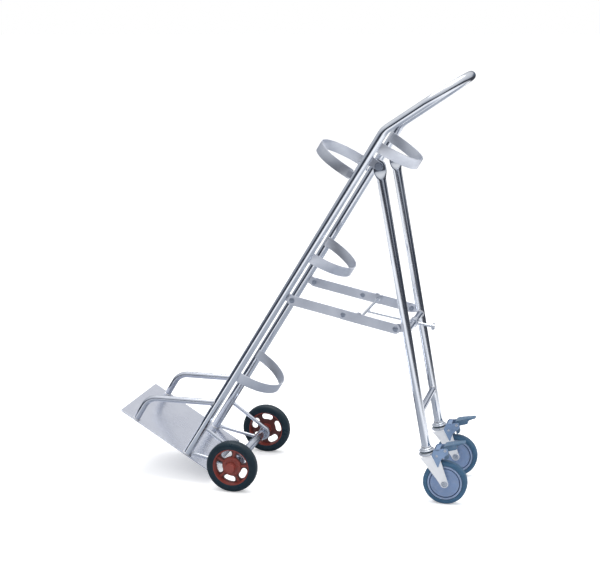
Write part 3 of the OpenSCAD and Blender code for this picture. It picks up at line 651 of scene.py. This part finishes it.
for name, side in SIDES.items():
    body = f"main_wheel_{name}"
    wheel = AXLE @ outward(side, TRACK_Y)
    bm = bmesh.new()
    lathe(bm, tyre_profile + tyre_profile[:1], 120)
    finish_mesh(f"tyre_tread_{name}", bm, wheel, tyre_rubber, body, (f"tyre_{name}",), angle=40)
    # The outward frame turns opposite ways on the two sides.
    first = FIRST_SLOT[name]
    loops = [circle(WEB_R, 120)] + [kidney(SLOT_START + k * SLOT_STEP) for k in range(SLOTS)]
    web = holed_plate(loops, 5, 0.9)
    # The web gets the darker enamel copy as painted shade in its recess.
    place(f"hub_web_{name}", web, wheel @ turn(first - SLOT_START, "Z"), painted_shade_enamel, body, (),
          angle=32)
    bm = bmesh.new()
    rim = RIM + [(r, -h) for r, h in reversed(RIM)]
    lathe(bm, rim + rim[:1], 96)
    disc = [(0, 2.4), (28.4, 2.4), (28.2, 4.2), (27.2, 5.8), (25.6, 6.6), (23.5, 6.8), (17.5, 7), (15.8, 7.8),
            (15, 9.5), (15, 16), (0, 16)]
    lathe(bm, disc, 72)
    lathe(bm, [(0, -19), (14, -19), (15, -18), (15, -3), (16.5, -2.4)], 64)
    for k in range(SLOTS):
        rib = first + (k + 0.5) * SLOT_STEP
        slab(bm, [(28, -2.4), (49, -3.6), (49, 3.6), (28, 2.4)], 2.2, 4.2, turn(rib, "Z"))
    finish_mesh(f"hub_rim_{name}", bm, wheel, red_enamel, body, (f"hub_{name}",), bevel=0.5)
    bm = bmesh.new()
    cap = [(0, 9.5), (9.5, 9.5), (12, 9.1), (13.4, 8), (14, 6.2), (14.2, 1.2), (15, 0.2), (15, 0), (12.5, 0)]
    lathe(bm, cap, 64)
    finish_mesh(f"hub_cover_{name}", bm, AXLE @ outward(side, NUT_START), red_enamel, body,
                (f"hub_cap_{name}",))
    bm = bmesh.new()
    for k in range(SLOTS):
        rivet_at = turn(first + (k + 0.5) * SLOT_STEP, "Z") @ Vector((RIVET_RING_R, 0, 0))
        lathe(bm, [(0, 6), (3.4, 6), (3.4, 7.2), (2.7, 8), (1.4, 8.4), (0, 8.5)], 20, shift(*rivet_at))
    finish_mesh(f"hub_rivets_{name}", bm, wheel, red_enamel, body, ())

# ---- folding legs ----

FOOT_OF_LEG = 108 - DROP
ROUND_Z, FLAT_Z = -38, -10
EYE_R, EYE_HALF_T = 18.0, 3.5
ROUND, SQUARE = 2.0, 7.0


def leg_section(z):
    """Half width, half thickness and squareness of the leg at a height."""
    if z <= ROUND_Z:
        return TUBE_R, TUBE_R, ROUND
    if z >= FLAT_Z:
        half_w = EYE_R if z <= 0 else math.sqrt(max(EYE_R ** 2 - z ** 2, 0.04))
        return half_w, EYE_HALF_T, SQUARE
    t = (z - ROUND_Z) / (FLAT_Z - ROUND_Z)
    t = t * t * (3 - 2 * t)
    return TUBE_R + (EYE_R - TUBE_R) * t, TUBE_R + (EYE_HALF_T - TUBE_R) * t, ROUND + (SQUARE - ROUND) * t


heights = [FOOT_OF_LEG + (ROUND_Z - FOOT_OF_LEG) * i / 12 for i in range(12)]
heights += [ROUND_Z + (FLAT_Z - ROUND_Z) * i / 14 for i in range(15)]
heights += [-5, 0] + [EYE_R * math.sin(deg(a)) for a in (15, 30, 42, 53, 63, 71, 78, 84, 89)]
SECTION_POINTS = 64
for name, side in SIDES.items():
    bm = bmesh.new()
    rings = []
    for z in heights:
        half_w, half_t, square = leg_section(z)
        ring = []
        for i in range(SECTION_POINTS):
            a = 2 * math.pi * i / SECTION_POINTS
            c, s = math.cos(a), math.sin(a)
            k = (abs(c) ** square + abs(s) ** square) ** (-1 / square)
            ring.append(bm.verts.new((half_w * c * k, side * LEG_Y + half_t * s * k, z)))
        rings.append(ring)
    for a, b in zip(rings, rings[1:]):
        for i in range(SECTION_POINTS):
            j = (i + 1) % SECTION_POINTS
            bm.faces.new((a[i], a[j], b[j], b[i]))
    bm.faces.new(rings[0])
    bm.faces.new(rings[-1])
    finish_mesh(f"leg_tube_{name}", bm, LEGS, chrome_leg, "rear_legs", (f"leg_{name}",), angle=40)

bm_leg_weld = bmesh.new()
for name, down in zip(("upper", "lower"), CROSSBARS):
    bm = bmesh.new()
    sweep(bm, [(0, -LEG_Y + 6, -down), (0, LEG_Y - 6, -down)], circle(ROD_R, 40))
    finish_mesh(f"{name}_cross_tube", bm, LEGS, chrome_rod, "rear_legs", (f"{name}_crossbar",))
    for side in (-1, 1):
        joint = weld_curve((0, 0, -down), (0, side, 0), ROD_R, (0, side * LEG_Y, 0), (0, 0, 1), TUBE_R)
        bead(bm_leg_weld, joint, 1.6)

# Lugs: a tapered one for each leg pivot, small ones for the stays.
EYE_GAP = 0.4
LUG_Y = LEG_Y + EYE_HALF_T + EYE_GAP
LUG_T = 4
STAY_LUG_Y, REAR_LUG_Y = STAY_Y - 3.4, STAY_Y - 4.4
LEG_EAR_R, STAY_EAR_R = 11, 12
pivot_u, stay_u, rear_u = PIVOT[0], STAY_START[0], STAY_END_ON_LEG[0]
leg_ear = [(4, -14), (pivot_u, -LEG_EAR_R)] + arc((pivot_u, 0), LEG_EAR_R, -75, 75, 10)
leg_ear += [(pivot_u, LEG_EAR_R), (4, 14)]
stay_ear = [(4, -STAY_EAR_R)] + arc((stay_u, 0), STAY_EAR_R, -90, 90, 12) + [(4, STAY_EAR_R)]
rear_ear = [(-4, STAY_EAR_R)] + arc((rear_u, 0), STAY_EAR_R, 90, 270, 12) + [(-4, -STAY_EAR_R)]
for name, side in SIDES.items():
    for label, ear, up, inner, thick, matrix, body, welds in (
            ("leg_lug", leg_ear, PIVOT[1], LUG_Y, LUG_T, UP, "frame", bm_weld),
            ("stay_lug", stay_ear, STAY_START[1], STAY_LUG_Y, 3, UP, "frame", bm_weld),
            ("rear_lug", rear_ear, STAY_END_ON_LEG[1], REAR_LUG_Y, LUG_T, LEGS, "rear_legs", bm_leg_weld)):
        bm = bmesh.new()
        middle = side * (inner + thick / 2)
        slab(bm, ear, -thick / 2, thick / 2, shift(0, middle, up) @ FACE)
        finish_mesh(f"{label}_plate_{name}", bm, matrix, lug_plate, body, (f"{label}_{name}",), bevel=0.6)
        tall = max(v for u, v in ear)
        centre_y = side * (RAIL_Y if body == "frame" else LEG_Y)
        for face in (-1, 1):
            off = middle + face * (thick / 2 + 0.4) - centre_y
            if abs(off) < TUBE_R:
                x = math.copysign(math.sqrt(TUBE_R ** 2 - off ** 2) + 0.3, ear[1][0])
                weld_y = middle + face * (thick / 2 + 0.5)
                bead(welds, [(x, weld_y, up + z) for z in (1 - tall, 0, tall - 1)], 1.3, closed=False)


def bolt(bm, side, inner, outer, nut_h=5.0, head_h=4.0, r=4.0, hex_r=7.5, domed=True):
    """A bolt with its nut inside and its head outside."""
    lathe(bm, [(0, 0), (r, 0), (r, outer - inner)], 24, outward(side, inner))
    hexagon(bm, hex_r, 0, nut_h - 1, outward(side, inner) @ turn(180, "X"))
    end_of_thread = [(r, 1.2), (r + 0.6, 0), (r + 0.6, 1.8), (0, 2.4)]
    lathe(bm, end_of_thread, 24, outward(side, inner - nut_h - 0.4))
    if domed:
        dome = [(1, 0), (1, 0.25), (0.86, 0.7), (0.5, 0.95), (0, 1)]
        lathe(bm, [(hex_r * x, head_h * z) for x, z in dome], 36, outward(side, outer))
    else:
        lathe(bm, [(0, 0), (hex_r + 2.4, 0), (hex_r + 2.4, 1.4), (0, 1.4)], 40, outward(side, outer))
        hexagon(bm, hex_r, 1.4, head_h + 1, outward(side, outer))


bm = bmesh.new()
for side in (-1, 1):
    eye_inside = LEG_Y - EYE_HALF_T - EYE_GAP
    bolt(bm, side, eye_inside, LUG_Y + LUG_T, nut_h=8, head_h=5, r=5, hex_r=9.2, domed=False)
finish_mesh("leg_pivot_fasteners", bm, UP @ shift(pivot_u, 0, PIVOT[1]), bolt_steel, "frame",
            ("leg_pivot_bolts",), bevel=0.25)
bm = bmesh.new()
for side in (-1, 1):
    bolt(bm, side, STAY_LUG_Y, STAY_Y + BAR_T + 0.2)
finish_mesh("front_stay_fasteners", bm, UP @ shift(stay_u, 0, STAY_START[1]), bolt_steel, "frame",
            ("front_stay_bolts",), bevel=0.25)
bm = bmesh.new()
for side in (-1, 1):
    bolt(bm, side, REAR_LUG_Y, REAR_STAY_Y + BAR_T + 0.2)
    lathe(bm, [(0, 0), (7, 0), (7, 3.6), (0, 3.6)], 36, outward(side, STAY_Y - 0.4))
finish_mesh("rear_stay_fasteners", bm, LEGS @ shift(rear_u, 0, STAY_END_ON_LEG[1]), bolt_steel, "rear_legs",
            ("rear_stay_bolts",), bevel=0.25)

# ---- folding stays ----

STOP = (38, 48)                  # the stop tab on the front bar, behind the middle rivet
RIVET = [(7, 0), (7, 0.5), (6.2, 1.5), (4.4, 2.2), (2.2, 2.5), (0, 2.5)]
for name, side in SIDES.items():
    front_y, rear_y = side * (STAY_Y + BAR_T / 2), side * (REAR_STAY_Y + BAR_T / 2)
    tail = STAY_L + TIE_ROD + 7
    bar = arc((0, 0), BAR_HALF_W, 90, 270, 9) + [(tail, -BAR_HALF_W)]
    bar += arc((tail, 3 - BAR_HALF_W), 3, 270, 360, 30) + arc((tail, BAR_HALF_W - 3), 3, 0, 90, 30)
    bm = bmesh.new()
    slab(bm, bar, -BAR_T / 2, BAR_T / 2, shift(0, front_y, 0) @ FACE)
    near, far = STAY_L + STOP[0], STAY_L + STOP[1]
    slab(bm, [(near, 12), (far, 12), (far, 17.4), (near, 17.4)], -BAR_T / 2, BAR_T / 2,
         shift(0, front_y, 0) @ FACE)
    slab(bm, [(near, 14.4), (far, 14.4), (far, 17.4), (near, 17.4)], -3.2, 3.2,
         shift(0, side * (STAY_Y + 3.2), 0) @ FACE)
    finish_mesh(f"front_bar_{name}", bm, STAYS, bar_steel, "front_stays", (f"front_stay_{name}",), bevel=0.5)
    bm = bmesh.new()
    lathe(bm, RIVET, 40, shift(STAY_L, 0, 0) @ outward(-side, -STAY_Y))
    lathe(bm, [(0, 0), (5.6, 0), (5.6, 0.5), (4.4, 1.3), (0, 1.6)], 32,
          shift(STAY_L + TIE_ROD, 0, 0) @ outward(side, STAY_Y + 2.9))
    finish_mesh(f"front_bar_rivets_{name}", bm, STAYS, bolt_steel, "front_stays", ())
    bar = arc((STAY_L, 0), BAR_HALF_W, 90, 270, 9) + arc((2 * STAY_L, 0), BAR_HALF_W, -90, 90, 9)
    bm = bmesh.new()
    slab(bm, bar, -BAR_T / 2, BAR_T / 2, shift(0, rear_y, 0) @ FACE)
    finish_mesh(f"rear_bar_{name}", bm, STAYS, bar_steel, "rear_stays", (f"rear_stay_{name}",), bevel=0.5)
bm = bmesh.new()
sweep(bm, [(0, -STAY_Y - 1, 0), (0, STAY_Y + 1, 0)], circle(4, 28))
for side in (-1, 1):
    lathe(bm, [(0, 0), (7, 0), (7, 1.2), (4, 1.6)], 32, outward(-side, -(STAY_Y - 0.1)))
finish_mesh("stay_cross_rod", bm, STAYS @ shift(STAY_L + TIE_ROD, 0, 0), zinc, "front_stays",
            ("stay_tie_rod",))
bm = bmesh.new()
for side in (-1, 1):
    lathe(bm, RIVET, 40, outward(side, REAR_STAY_Y + 3))
    lathe(bm, [(0, 0), (4, 0), (4, 3)], 24, outward(side, REAR_STAY_Y))
finish_mesh("stay_rivet_heads", bm, STAYS @ shift(STAY_L, 0, 0), bolt_steel, "rear_stays", ("stay_rivets",))

# ---- release lever ----

CROSS_DOWN = CROSSBARS[0]
rod_at = LEGS.inverted() @ STAYS @ Vector((STAY_L + TIE_ROD, 0, 0)) + Vector((0, 0, CROSS_DOWN))
REACH = math.hypot(rod_at.x, rod_at.z)
RISE = math.degrees(math.atan2(rod_at.z, -rod_at.x) - math.asin(8.4 / REACH))
LEVER = LEGS @ shift(0, 0, -CROSS_DOWN) @ turn(RISE - 90, "Y")
bm = bmesh.new()
lathe(bm, [(0, -50), (4, -50), (4, REACH + 7.5), (3, REACH + 8.8), (0, REACH + 9)], 32)
sleeve = [(9.6, -12), (12.4, -12), (13, -11.4), (13, 11.4), (12.4, 12), (9.6, 12), (9.6, -12)]
lathe(bm, sleeve, 48, turn(90, "X"))
finish_mesh("lever_rod", bm, LEVER, zinc, "lever", ("release_lever",))
bm = bmesh.new()
for z in (12.7, -12.7):
    bead(bm, [(4.4 * x, 4.4 * y, z) for x, y in circle(1, 24)], 1.0)
finish_mesh("lever_welds", bm, LEVER, weld_steel, "lever", ())
bm = bmesh.new()
knob = [(0, -62), (5.5, -62), (6.8, -61.2), (7.2, -60), (7.2, -53), (6.4, -51.6), (4.2, -50.6), (0, -50.4)]
lathe(bm, knob, 40)
for side in (-1, 1):
    wing = arc((side * 8.2, 0), 2.8, 0, 360, 24)[:-1]
    slab(bm, [(x, y * 1.5 - 56.5) for x, y in wing], -1.6, 1.6, FACE)
finish_mesh("lever_wing_knob", bm, LEVER, zinc, "lever", ("lever_knob",), bevel=0.4)

# ---- casters ----

FORK_OUT, CROWN_Z = 21, 84
FORK_TOP = CROWN_Z + 3
TIP_R = 11
BRAKE_PIN = (56, 97)
PEDAL_HALF_W, FINGER_HALF_W = 18.4, 10.5
RIB_STEP = 5.8


def front_edge(z):
    """Front edge of the fork's side plate at a height."""
    top_x, low_x, low_z = -19.0, TRAIL - 9.6, -5.4
    if z >= low_z:
        return low_x + (top_x - low_x) * ((z - low_z) / (CROWN_Z - low_z)) ** 1.12
    return TRAIL - math.sqrt(max(TIP_R ** 2 - z ** 2, 0.01))


def rear_edge(z):
    """Rear edge of the fork's side plate at a height."""
    top_x, low_x, low_z = 36, TRAIL + 10.8, 2
    if z >= low_z:
        return low_x + (top_x - low_x) * (z - low_z) / (CROWN_Z - low_z)
    return TRAIL + math.sqrt(max(TIP_R ** 2 - z ** 2, 0.01))


# The fork is one folded sheet: rows run from the left tip over the crown to the right tip.
BEND_R = 5
half_rows = [(FORK_OUT, TIP_R * math.sin(deg(a))) for a in (-88, -76, -64, -52, -40, -30)]
half_rows += [(FORK_OUT, z) for z in (-3, 2, 8, 16, 26, 38, 50, 62, 72, FORK_TOP - BEND_R)]
half_rows += arc((FORK_OUT - BEND_R, FORK_TOP - BEND_R), BEND_R, 15, 90, 15)
half_rows += [(10, FORK_TOP), (4, FORK_TOP)]
FORK_ROWS = half_rows + [(-y, z) for y, z in reversed(half_rows)]
COLUMNS = 14
for name, side in SIDES.items():
    swivel = f"caster_swivel_{name}"
    here = LEGS @ shift(0, side * LEG_Y, -DROP)
    hub = here @ shift(TRAIL, 0, 0)

    bm = bmesh.new()
    head = [(0, 80), (7, 80), (8, 81), (8, 83.6), (5, 83.6), (5, 97.4), (20.8, 97.4), (21.4, 98),
            (21.4, 99.8), (20.6, 100.6), (17.4, 101), (16.8, 101.8), (16.6, 104), (15.6, 105.2), (13.8, 106),
            (13.4, 108.6), (12.9, 109.6), (11, 109.6), (11, 120), (0, 120)]
    lathe(bm, head, 72)
    finish_mesh(f"caster_head_{name}", bm, here, zinc, "rear_legs", (f"caster_stem_{name}",), angle=30)
    bead(bm_leg_weld, [(13.2 * x, side * LEG_Y + 13.2 * y, 109.4 - DROP) for x, y in circle(1, 40)], 1.2)

    bm = bmesh.new()
    grid = []
    for y, z in FORK_ROWS:
        lo, hi = front_edge(min(z, CROWN_Z)), rear_edge(min(z, CROWN_Z))
        if abs(y) < FORK_OUT - 0.5:
            lo = -math.sqrt(max(FORK_OUT ** 2 - y ** 2 * 0.95, 19))
        grid.append([bm.verts.new((lo + (hi - lo) * k / COLUMNS, y, z)) for k in range(COLUMNS + 1)])
    for a, b in zip(grid, grid[1:]):
        for k in range(COLUMNS):
            bm.faces.new((a[k], a[k + 1], b[k + 1], b[k]))
    fork = finish_mesh(f"fork_sheet_{name}", bm, here, pressed_zinc, swivel, (f"caster_fork_{name}",),
                       angle=50)
    centre = here @ Vector((10, 0, 50))
    if sum((centre - p.center).dot(p.normal) for p in fork.data.polygons) > 0:
        fork.data.flip_normals()
    thick = fork.modifiers.new("sheet", "SOLIDIFY")
    thick.thickness = 0.003
    thick.offset = -1
    round_edges(fork, 0.5, 2, 50)

    bm = bmesh.new()
    race = [(5.1, 87), (22.4, 87), (23.2, 87.8), (23.2, 90.4), (22.4, 91.4), (20, 92), (18.4, 93.6),
            (17.8, 96.8), (5.1, 96.8)]
    lathe(bm, race, 72)
    finish_mesh(f"fork_race_{name}", bm, here, zinc, swivel, (), angle=30)
    bm = bmesh.new()
    lathe(bm, [(0, 92.8), (18.8, 92.8), (19.4, 93.6), (19.4, 97.4), (0, 97.4)], 64)
    finish_mesh(f"race_seal_{name}", bm, here, tyre_rubber, swivel, (), angle=30)

    bm = bmesh.new()
    lathe(bm, [(0, 0), (6, 0), (6, 2 * FORK_OUT), (0, 2 * FORK_OUT)], 32, outward(1, -FORK_OUT))
    lathe(bm, [(0, 0), (8.8, 0), (9, 0.5), (8.2, 2.4), (6.4, 3.3), (0, 3.5)], 40, outward(side, FORK_OUT))
    lathe(bm, [(0, 0), (9, 0), (9, 1.2), (0, 1.2)], 40, outward(-side, FORK_OUT))
    hexagon(bm, 8.6, 1.2, 4.8, outward(-side, FORK_OUT))
    finish_mesh(f"caster_bolt_{name}", bm, hub, zinc, swivel, (f"caster_axle_{name}",), bevel=0.2)

    # Wheel: a moulded core with a stepped ring on each face, and a rounded tread.
    core_half = [(6.1, 17), (13.4, 17), (14, 16.4), (14.4, 11.2), (15.6, 9.6), (17.4, 9), (33, 9), (36, 9.6),
                 (39.4, 11.4), (40.4, 11.6), (40.9, 11), (41.2, 4.5), (43.4, 4.5), (43.7, 11.4), (44.4, 12.4),
                 (48.4, 12.5), (49.2, 11.7), (49.4, 7)]
    core = core_half + [(r, -h) for r, h in reversed(core_half)]
    bm = bmesh.new()
    lathe(bm, core + core[:1], 96, turn(90, "X"))
    finish_mesh(f"caster_hub_{name}", bm, hub, core_nylon, f"caster_wheel_{name}", (f"caster_core_{name}",),
                angle=30)
    tread_half = [(49.5, 6.5), (50.3, 6.5), (50.5, 12.4), (51.2, 13.2), (52.4, 13.4), (54.4, 13.4)]
    tread_half += arc((CASTER_R - 8, 6.4), 8, 60, 0, 10) + [(CASTER_R, 3)]
    tread = tread_half + [(r, -h) for r, h in reversed(tread_half)]
    bm = bmesh.new()
    lathe(bm, tread + tread[:1], 120, turn(90, "X"))
    finish_mesh(f"caster_tyre_{name}", bm, hub, tread_rubber, f"caster_wheel_{name}",
                (f"caster_tread_{name}",), angle=32)

    # Brake housing: two cheeks with a pointed tongue, a bridge behind the head and the pin's rivets.
    cheek = [(15.5, 88.5), (21, 72), (26.5, 53), (28.5, 51), (30.5, 53), (37, 67), (43, 74), (62, 86),
             (64, 90), (64, 101), (61.5, 103.2), (44, 103.4), (28, 105.4), (24, 102)]
    bm = bmesh.new()
    for s in (-1, 1):
        slab(bm, cheek, -1.3, 1.3, shift(0, s * (FORK_OUT + 1.6), 0) @ FACE)
    slab(bm, [(28, -23.9), (41, -23.9), (41, 23.9), (28, 23.9)], 99.6, 102.4)
    finish_mesh(f"brake_housing_{name}", bm, here, blue_enamel, swivel, (f"caster_brake_{name}",),
                bevel=0.8)
    bm = bmesh.new()
    for s in (-1, 1):
        for x, z, r in ((*BRAKE_PIN, 4.2), (30, 84, 3.4)):
            lathe(bm, [(0, 0), (r, 0), (r, 0.4), (r * 0.8, 0.9), (0, 1.05)], 28,
                  shift(x, 0, z) @ outward(s, FORK_OUT + 2.8))
    pin_l = 2 * FORK_OUT + 4
    lathe(bm, [(0, 0), (3, 0), (3, pin_l), (0, pin_l)], 24,
          shift(BRAKE_PIN[0], 0, BRAKE_PIN[1]) @ outward(1, -FORK_OUT - 2))
    finish_mesh(f"brake_rivets_{name}", bm, here, zinc, swivel, ())

    # Pedal: a hub block, a thin tread that narrows to its tip, ribs above and below, and a finger
    # over the wheel.
    bm = bmesh.new()
    block = [(50.5, 100), (52, 105), (54, 107.6), (57, 109), (86, 109.6), (88.6, 108.4), (89.6, 100),
             (88.6, 97.4), (86, 95.8), (62.5, 93.4)]
    slab(bm, block, -PEDAL_HALF_W, PEDAL_HALF_W, FACE)
    lathe(bm, [(3.1, -19), (6, -19), (6.5, -18.5), (6.5, 18.5), (6, 19), (3.1, 19), (3.1, -19)], 36,
          shift(BRAKE_PIN[0], 0, BRAKE_PIN[1]) @ turn(90, "X"))
    blade = shift(62, 0, 110) @ turn(-2.4, "Y")
    tip = arc((45.5, 6.5), 5.2, 90, 0, 15)
    plan = [(-3, PEDAL_HALF_W), (14, PEDAL_HALF_W)] + tip
    slab(bm, plan + [(x, -y) for x, y in reversed(plan)], -4, 0, blade)
    for k in range(7):
        x = 4 + k * RIB_STEP
        wide = 16 if x < 13 else 16 - (x - 13) * 0.2
        slab(bm, [(x, -0.4), (x + 0.4, 0.8), (x + 1.9, 0.8), (x + 2.3, -0.4)], -wide, wide, blade @ FACE)
    for y in (-8, 0, 8):
        slab(bm, [(24, -9), (24, -3), (44, -3), (44, -4.6)], -1.2, 1.2, blade @ shift(0, y, 0) @ FACE)
    finger = [(48, 95), (58, 93), (60, 71), (58.6, 68.8), (51, 66.8), (49.6, 68.4)]
    slab(bm, finger, -FINGER_HALF_W, FINGER_HALF_W, FACE)
    finish_mesh(f"pedal_{name}", bm, here, pedal_plastic, f"caster_pedal_{name}", (f"brake_pedal_{name}",),
                bevel=0.6)

finish_mesh("frame_welds", bm_weld, UP, weld_steel, "frame", (), angle=60)
finish_mesh("leg_welds", bm_leg_weld, LEGS, weld_steel, "rear_legs", (), angle=60)

# ---- stage ----

bpy.ops.mesh.primitive_plane_add(size=400, location=(0, 0, 0))
floor = bpy.context.object
floor.name = "floor"
m = Nodes("pale_floor")
spot = m.add("ShaderNodeTexCoord").outputs["Object"]
away_from_middle = m.add("ShaderNodeVectorMath", {0: spot}, operation="LENGTH").outputs["Value"]
# Only for glossy rays the floor is painted shade and painted reflection: grey within about 1.2 m of the
# middle, pale further out, near-black beyond about 3 m.
mirrored = m.blend(m.spread(away_from_middle, 0, 1, 1.0, 1.7), (0.34, 0.36, 0.40), (0.93, 0.93, 0.94))
mirrored = m.blend(m.spread(away_from_middle, 0, 1, 2.8, 4.6), mirrored, (0.03, 0.035, 0.05))
plain = m.blend(m.noise(spot, 3), (0.95, 0.95, 0.95), (0.94, 0.94, 0.945))
rays = m.add("ShaderNodeLightPath").outputs
m.join(m.blend(rays["Is Glossy Ray"], plain, mirrored), "Base Color")
m.shader.inputs["Roughness"].default_value = 0.75
m.shader.inputs["Specular IOR Level"].default_value = 0.15
m.shader.inputs["Emission Color"].default_value = (1, 1, 1, 1)
m.join(m.spread(rays["Is Camera Ray"], 0, 0.3, 0, 1), "Emission Strength")
floor.data.materials.append(m.material)

scene = bpy.context.scene
scene.view_settings.view_transform = "Standard"
world = bpy.data.worlds.new("studio")
scene.world = world
world.use_nodes = True
tree = world.node_tree
back = tree.nodes["Background"]


def sky_range(value, from_min, from_max, to_min, to_max):
    node = tree.nodes.new("ShaderNodeMapRange")
    numbers = {"From Min": from_min, "From Max": from_max, "To Min": to_min, "To Max": to_max}
    for key, number in numbers.items():
        node.inputs[key].default_value = number
    tree.links.new(value, node.inputs["Value"])
    return node.outputs[0]


def sky_product(a, b):
    node = tree.nodes.new("ShaderNodeMath")
    node.operation = "MULTIPLY"
    tree.links.new(a, node.inputs[0])
    tree.links.new(b, node.inputs[1])
    return node.outputs[0]


def sky_mix(factor, a, b):
    node = tree.nodes.new("ShaderNodeMix")
    node.data_type = "RGBA"
    for socket, value in ((node.inputs[6], a), (node.inputs[7], b)):
        if isinstance(value, bpy.types.NodeSocket):
            tree.links.new(value, socket)
        else:
            socket.default_value = (*value, 1)
    tree.links.new(factor, node.inputs[0])
    return node.outputs[2]


# The room is grey towards the horizon and darkest ahead on the left, to the right and behind, so that
# bright metal has something to reflect.
direction = tree.nodes.new("ShaderNodeTexCoord").outputs["Generated"]
axes = tree.nodes.new("ShaderNodeSeparateXYZ")
tree.links.new(direction, axes.inputs[0])
facing = tree.nodes.new("ShaderNodeVectorMath")
facing.operation = "DOT_PRODUCT"
facing.inputs[1].default_value = (-0.8, -0.6, 0)
tree.links.new(direction, facing.inputs[0])
BLUE_DARK = (0.02, 0.028, 0.05)
up, ahead = axes.outputs["Z"], facing.outputs["Value"]
grey = sky_product(sky_range(up, 0.85, 0.1, 0, 1), sky_range(ahead, -0.6, 0.7, 0.7, 1))
dark = sky_product(sky_range(up, 0.3, 0.1, 0, 1), sky_range(ahead, 0.35, 0.8, 0, 1))
right = sky_product(sky_range(up, 0.15, 0.06, 0, 1), sky_range(axes.outputs["X"], 0.8, 0.93, 0, 1))
behind = sky_product(sky_range(up, 0.26, 0.12, 0, 0.85), sky_range(axes.outputs["Y"], 0.8, 0.92, 0, 1))
room = sky_mix(grey, (1.05, 1.05, 1.05), (0.30, 0.33, 0.39))
room = sky_mix(right, sky_mix(dark, room, BLUE_DARK), BLUE_DARK)
room = sky_mix(behind, room, (0.03, 0.06, 0.11))
seen = tree.nodes.new("ShaderNodeLightPath").outputs["Is Camera Ray"]
tree.links.new(sky_mix(seen, room, (1, 1, 1)), back.inputs["Color"])
back.inputs["Strength"].default_value = 1.0


def softbox(name, where, aim, size, power, tint=(1, 1, 1), mirrored=False):
    data = bpy.data.lights.new(name, "AREA")
    data.shape = "RECTANGLE"
    data.size, data.size_y = size
    data.energy = power
    data.color = tint
    lamp = bpy.data.objects.new(name, data)
    lamp.location = where
    lamp.visible_glossy = mirrored
    lamp.rotation_euler = (Vector(aim) - Vector(where)).to_track_quat("-Z", "Y").to_euler()
    bpy.context.scene.collection.objects.link(lamp)


softbox("key", (-1.6, -2.2, 3.2), (0, 0, 0.5), (1.6, 1.6), 30)
softbox("fill", (2.8, -0.8, 2.0), (0, 0, 0.5), (1.2, 2.0), 12, (0.96, 0.98, 1))
softbox("top", (0, 0.6, 4.0), (0, 0, 0.4), (3.0, 3.0), 80, mirrored=True)

# ---- camera: its place is given in metres from the ground below the main axle ----

BACK_FROM_AXLE, TO_THE_LEFT, HEIGHT = 1.0697, 3.4872, 1.3408
AZIMUTH, ELEVATION = 14.69, 12.04
a, e = deg(AZIMUTH), deg(ELEVATION)
away = Vector((math.sin(a) * math.cos(e), -math.cos(a) * math.cos(e), math.sin(e)))
camera_data = bpy.data.cameras.new("camera")
camera_data.lens = 76
camera_data.sensor_width = 36
camera_data.clip_end = 100
camera = bpy.data.objects.new("camera", camera_data)
camera.location = (AXLE.translation.x + BACK_FROM_AXLE, -TO_THE_LEFT, HEIGHT)
camera.rotation_euler = (-away).to_track_quat("-Z", "Y").to_euler()
scene.collection.objects.link(camera)
scene.camera = camera
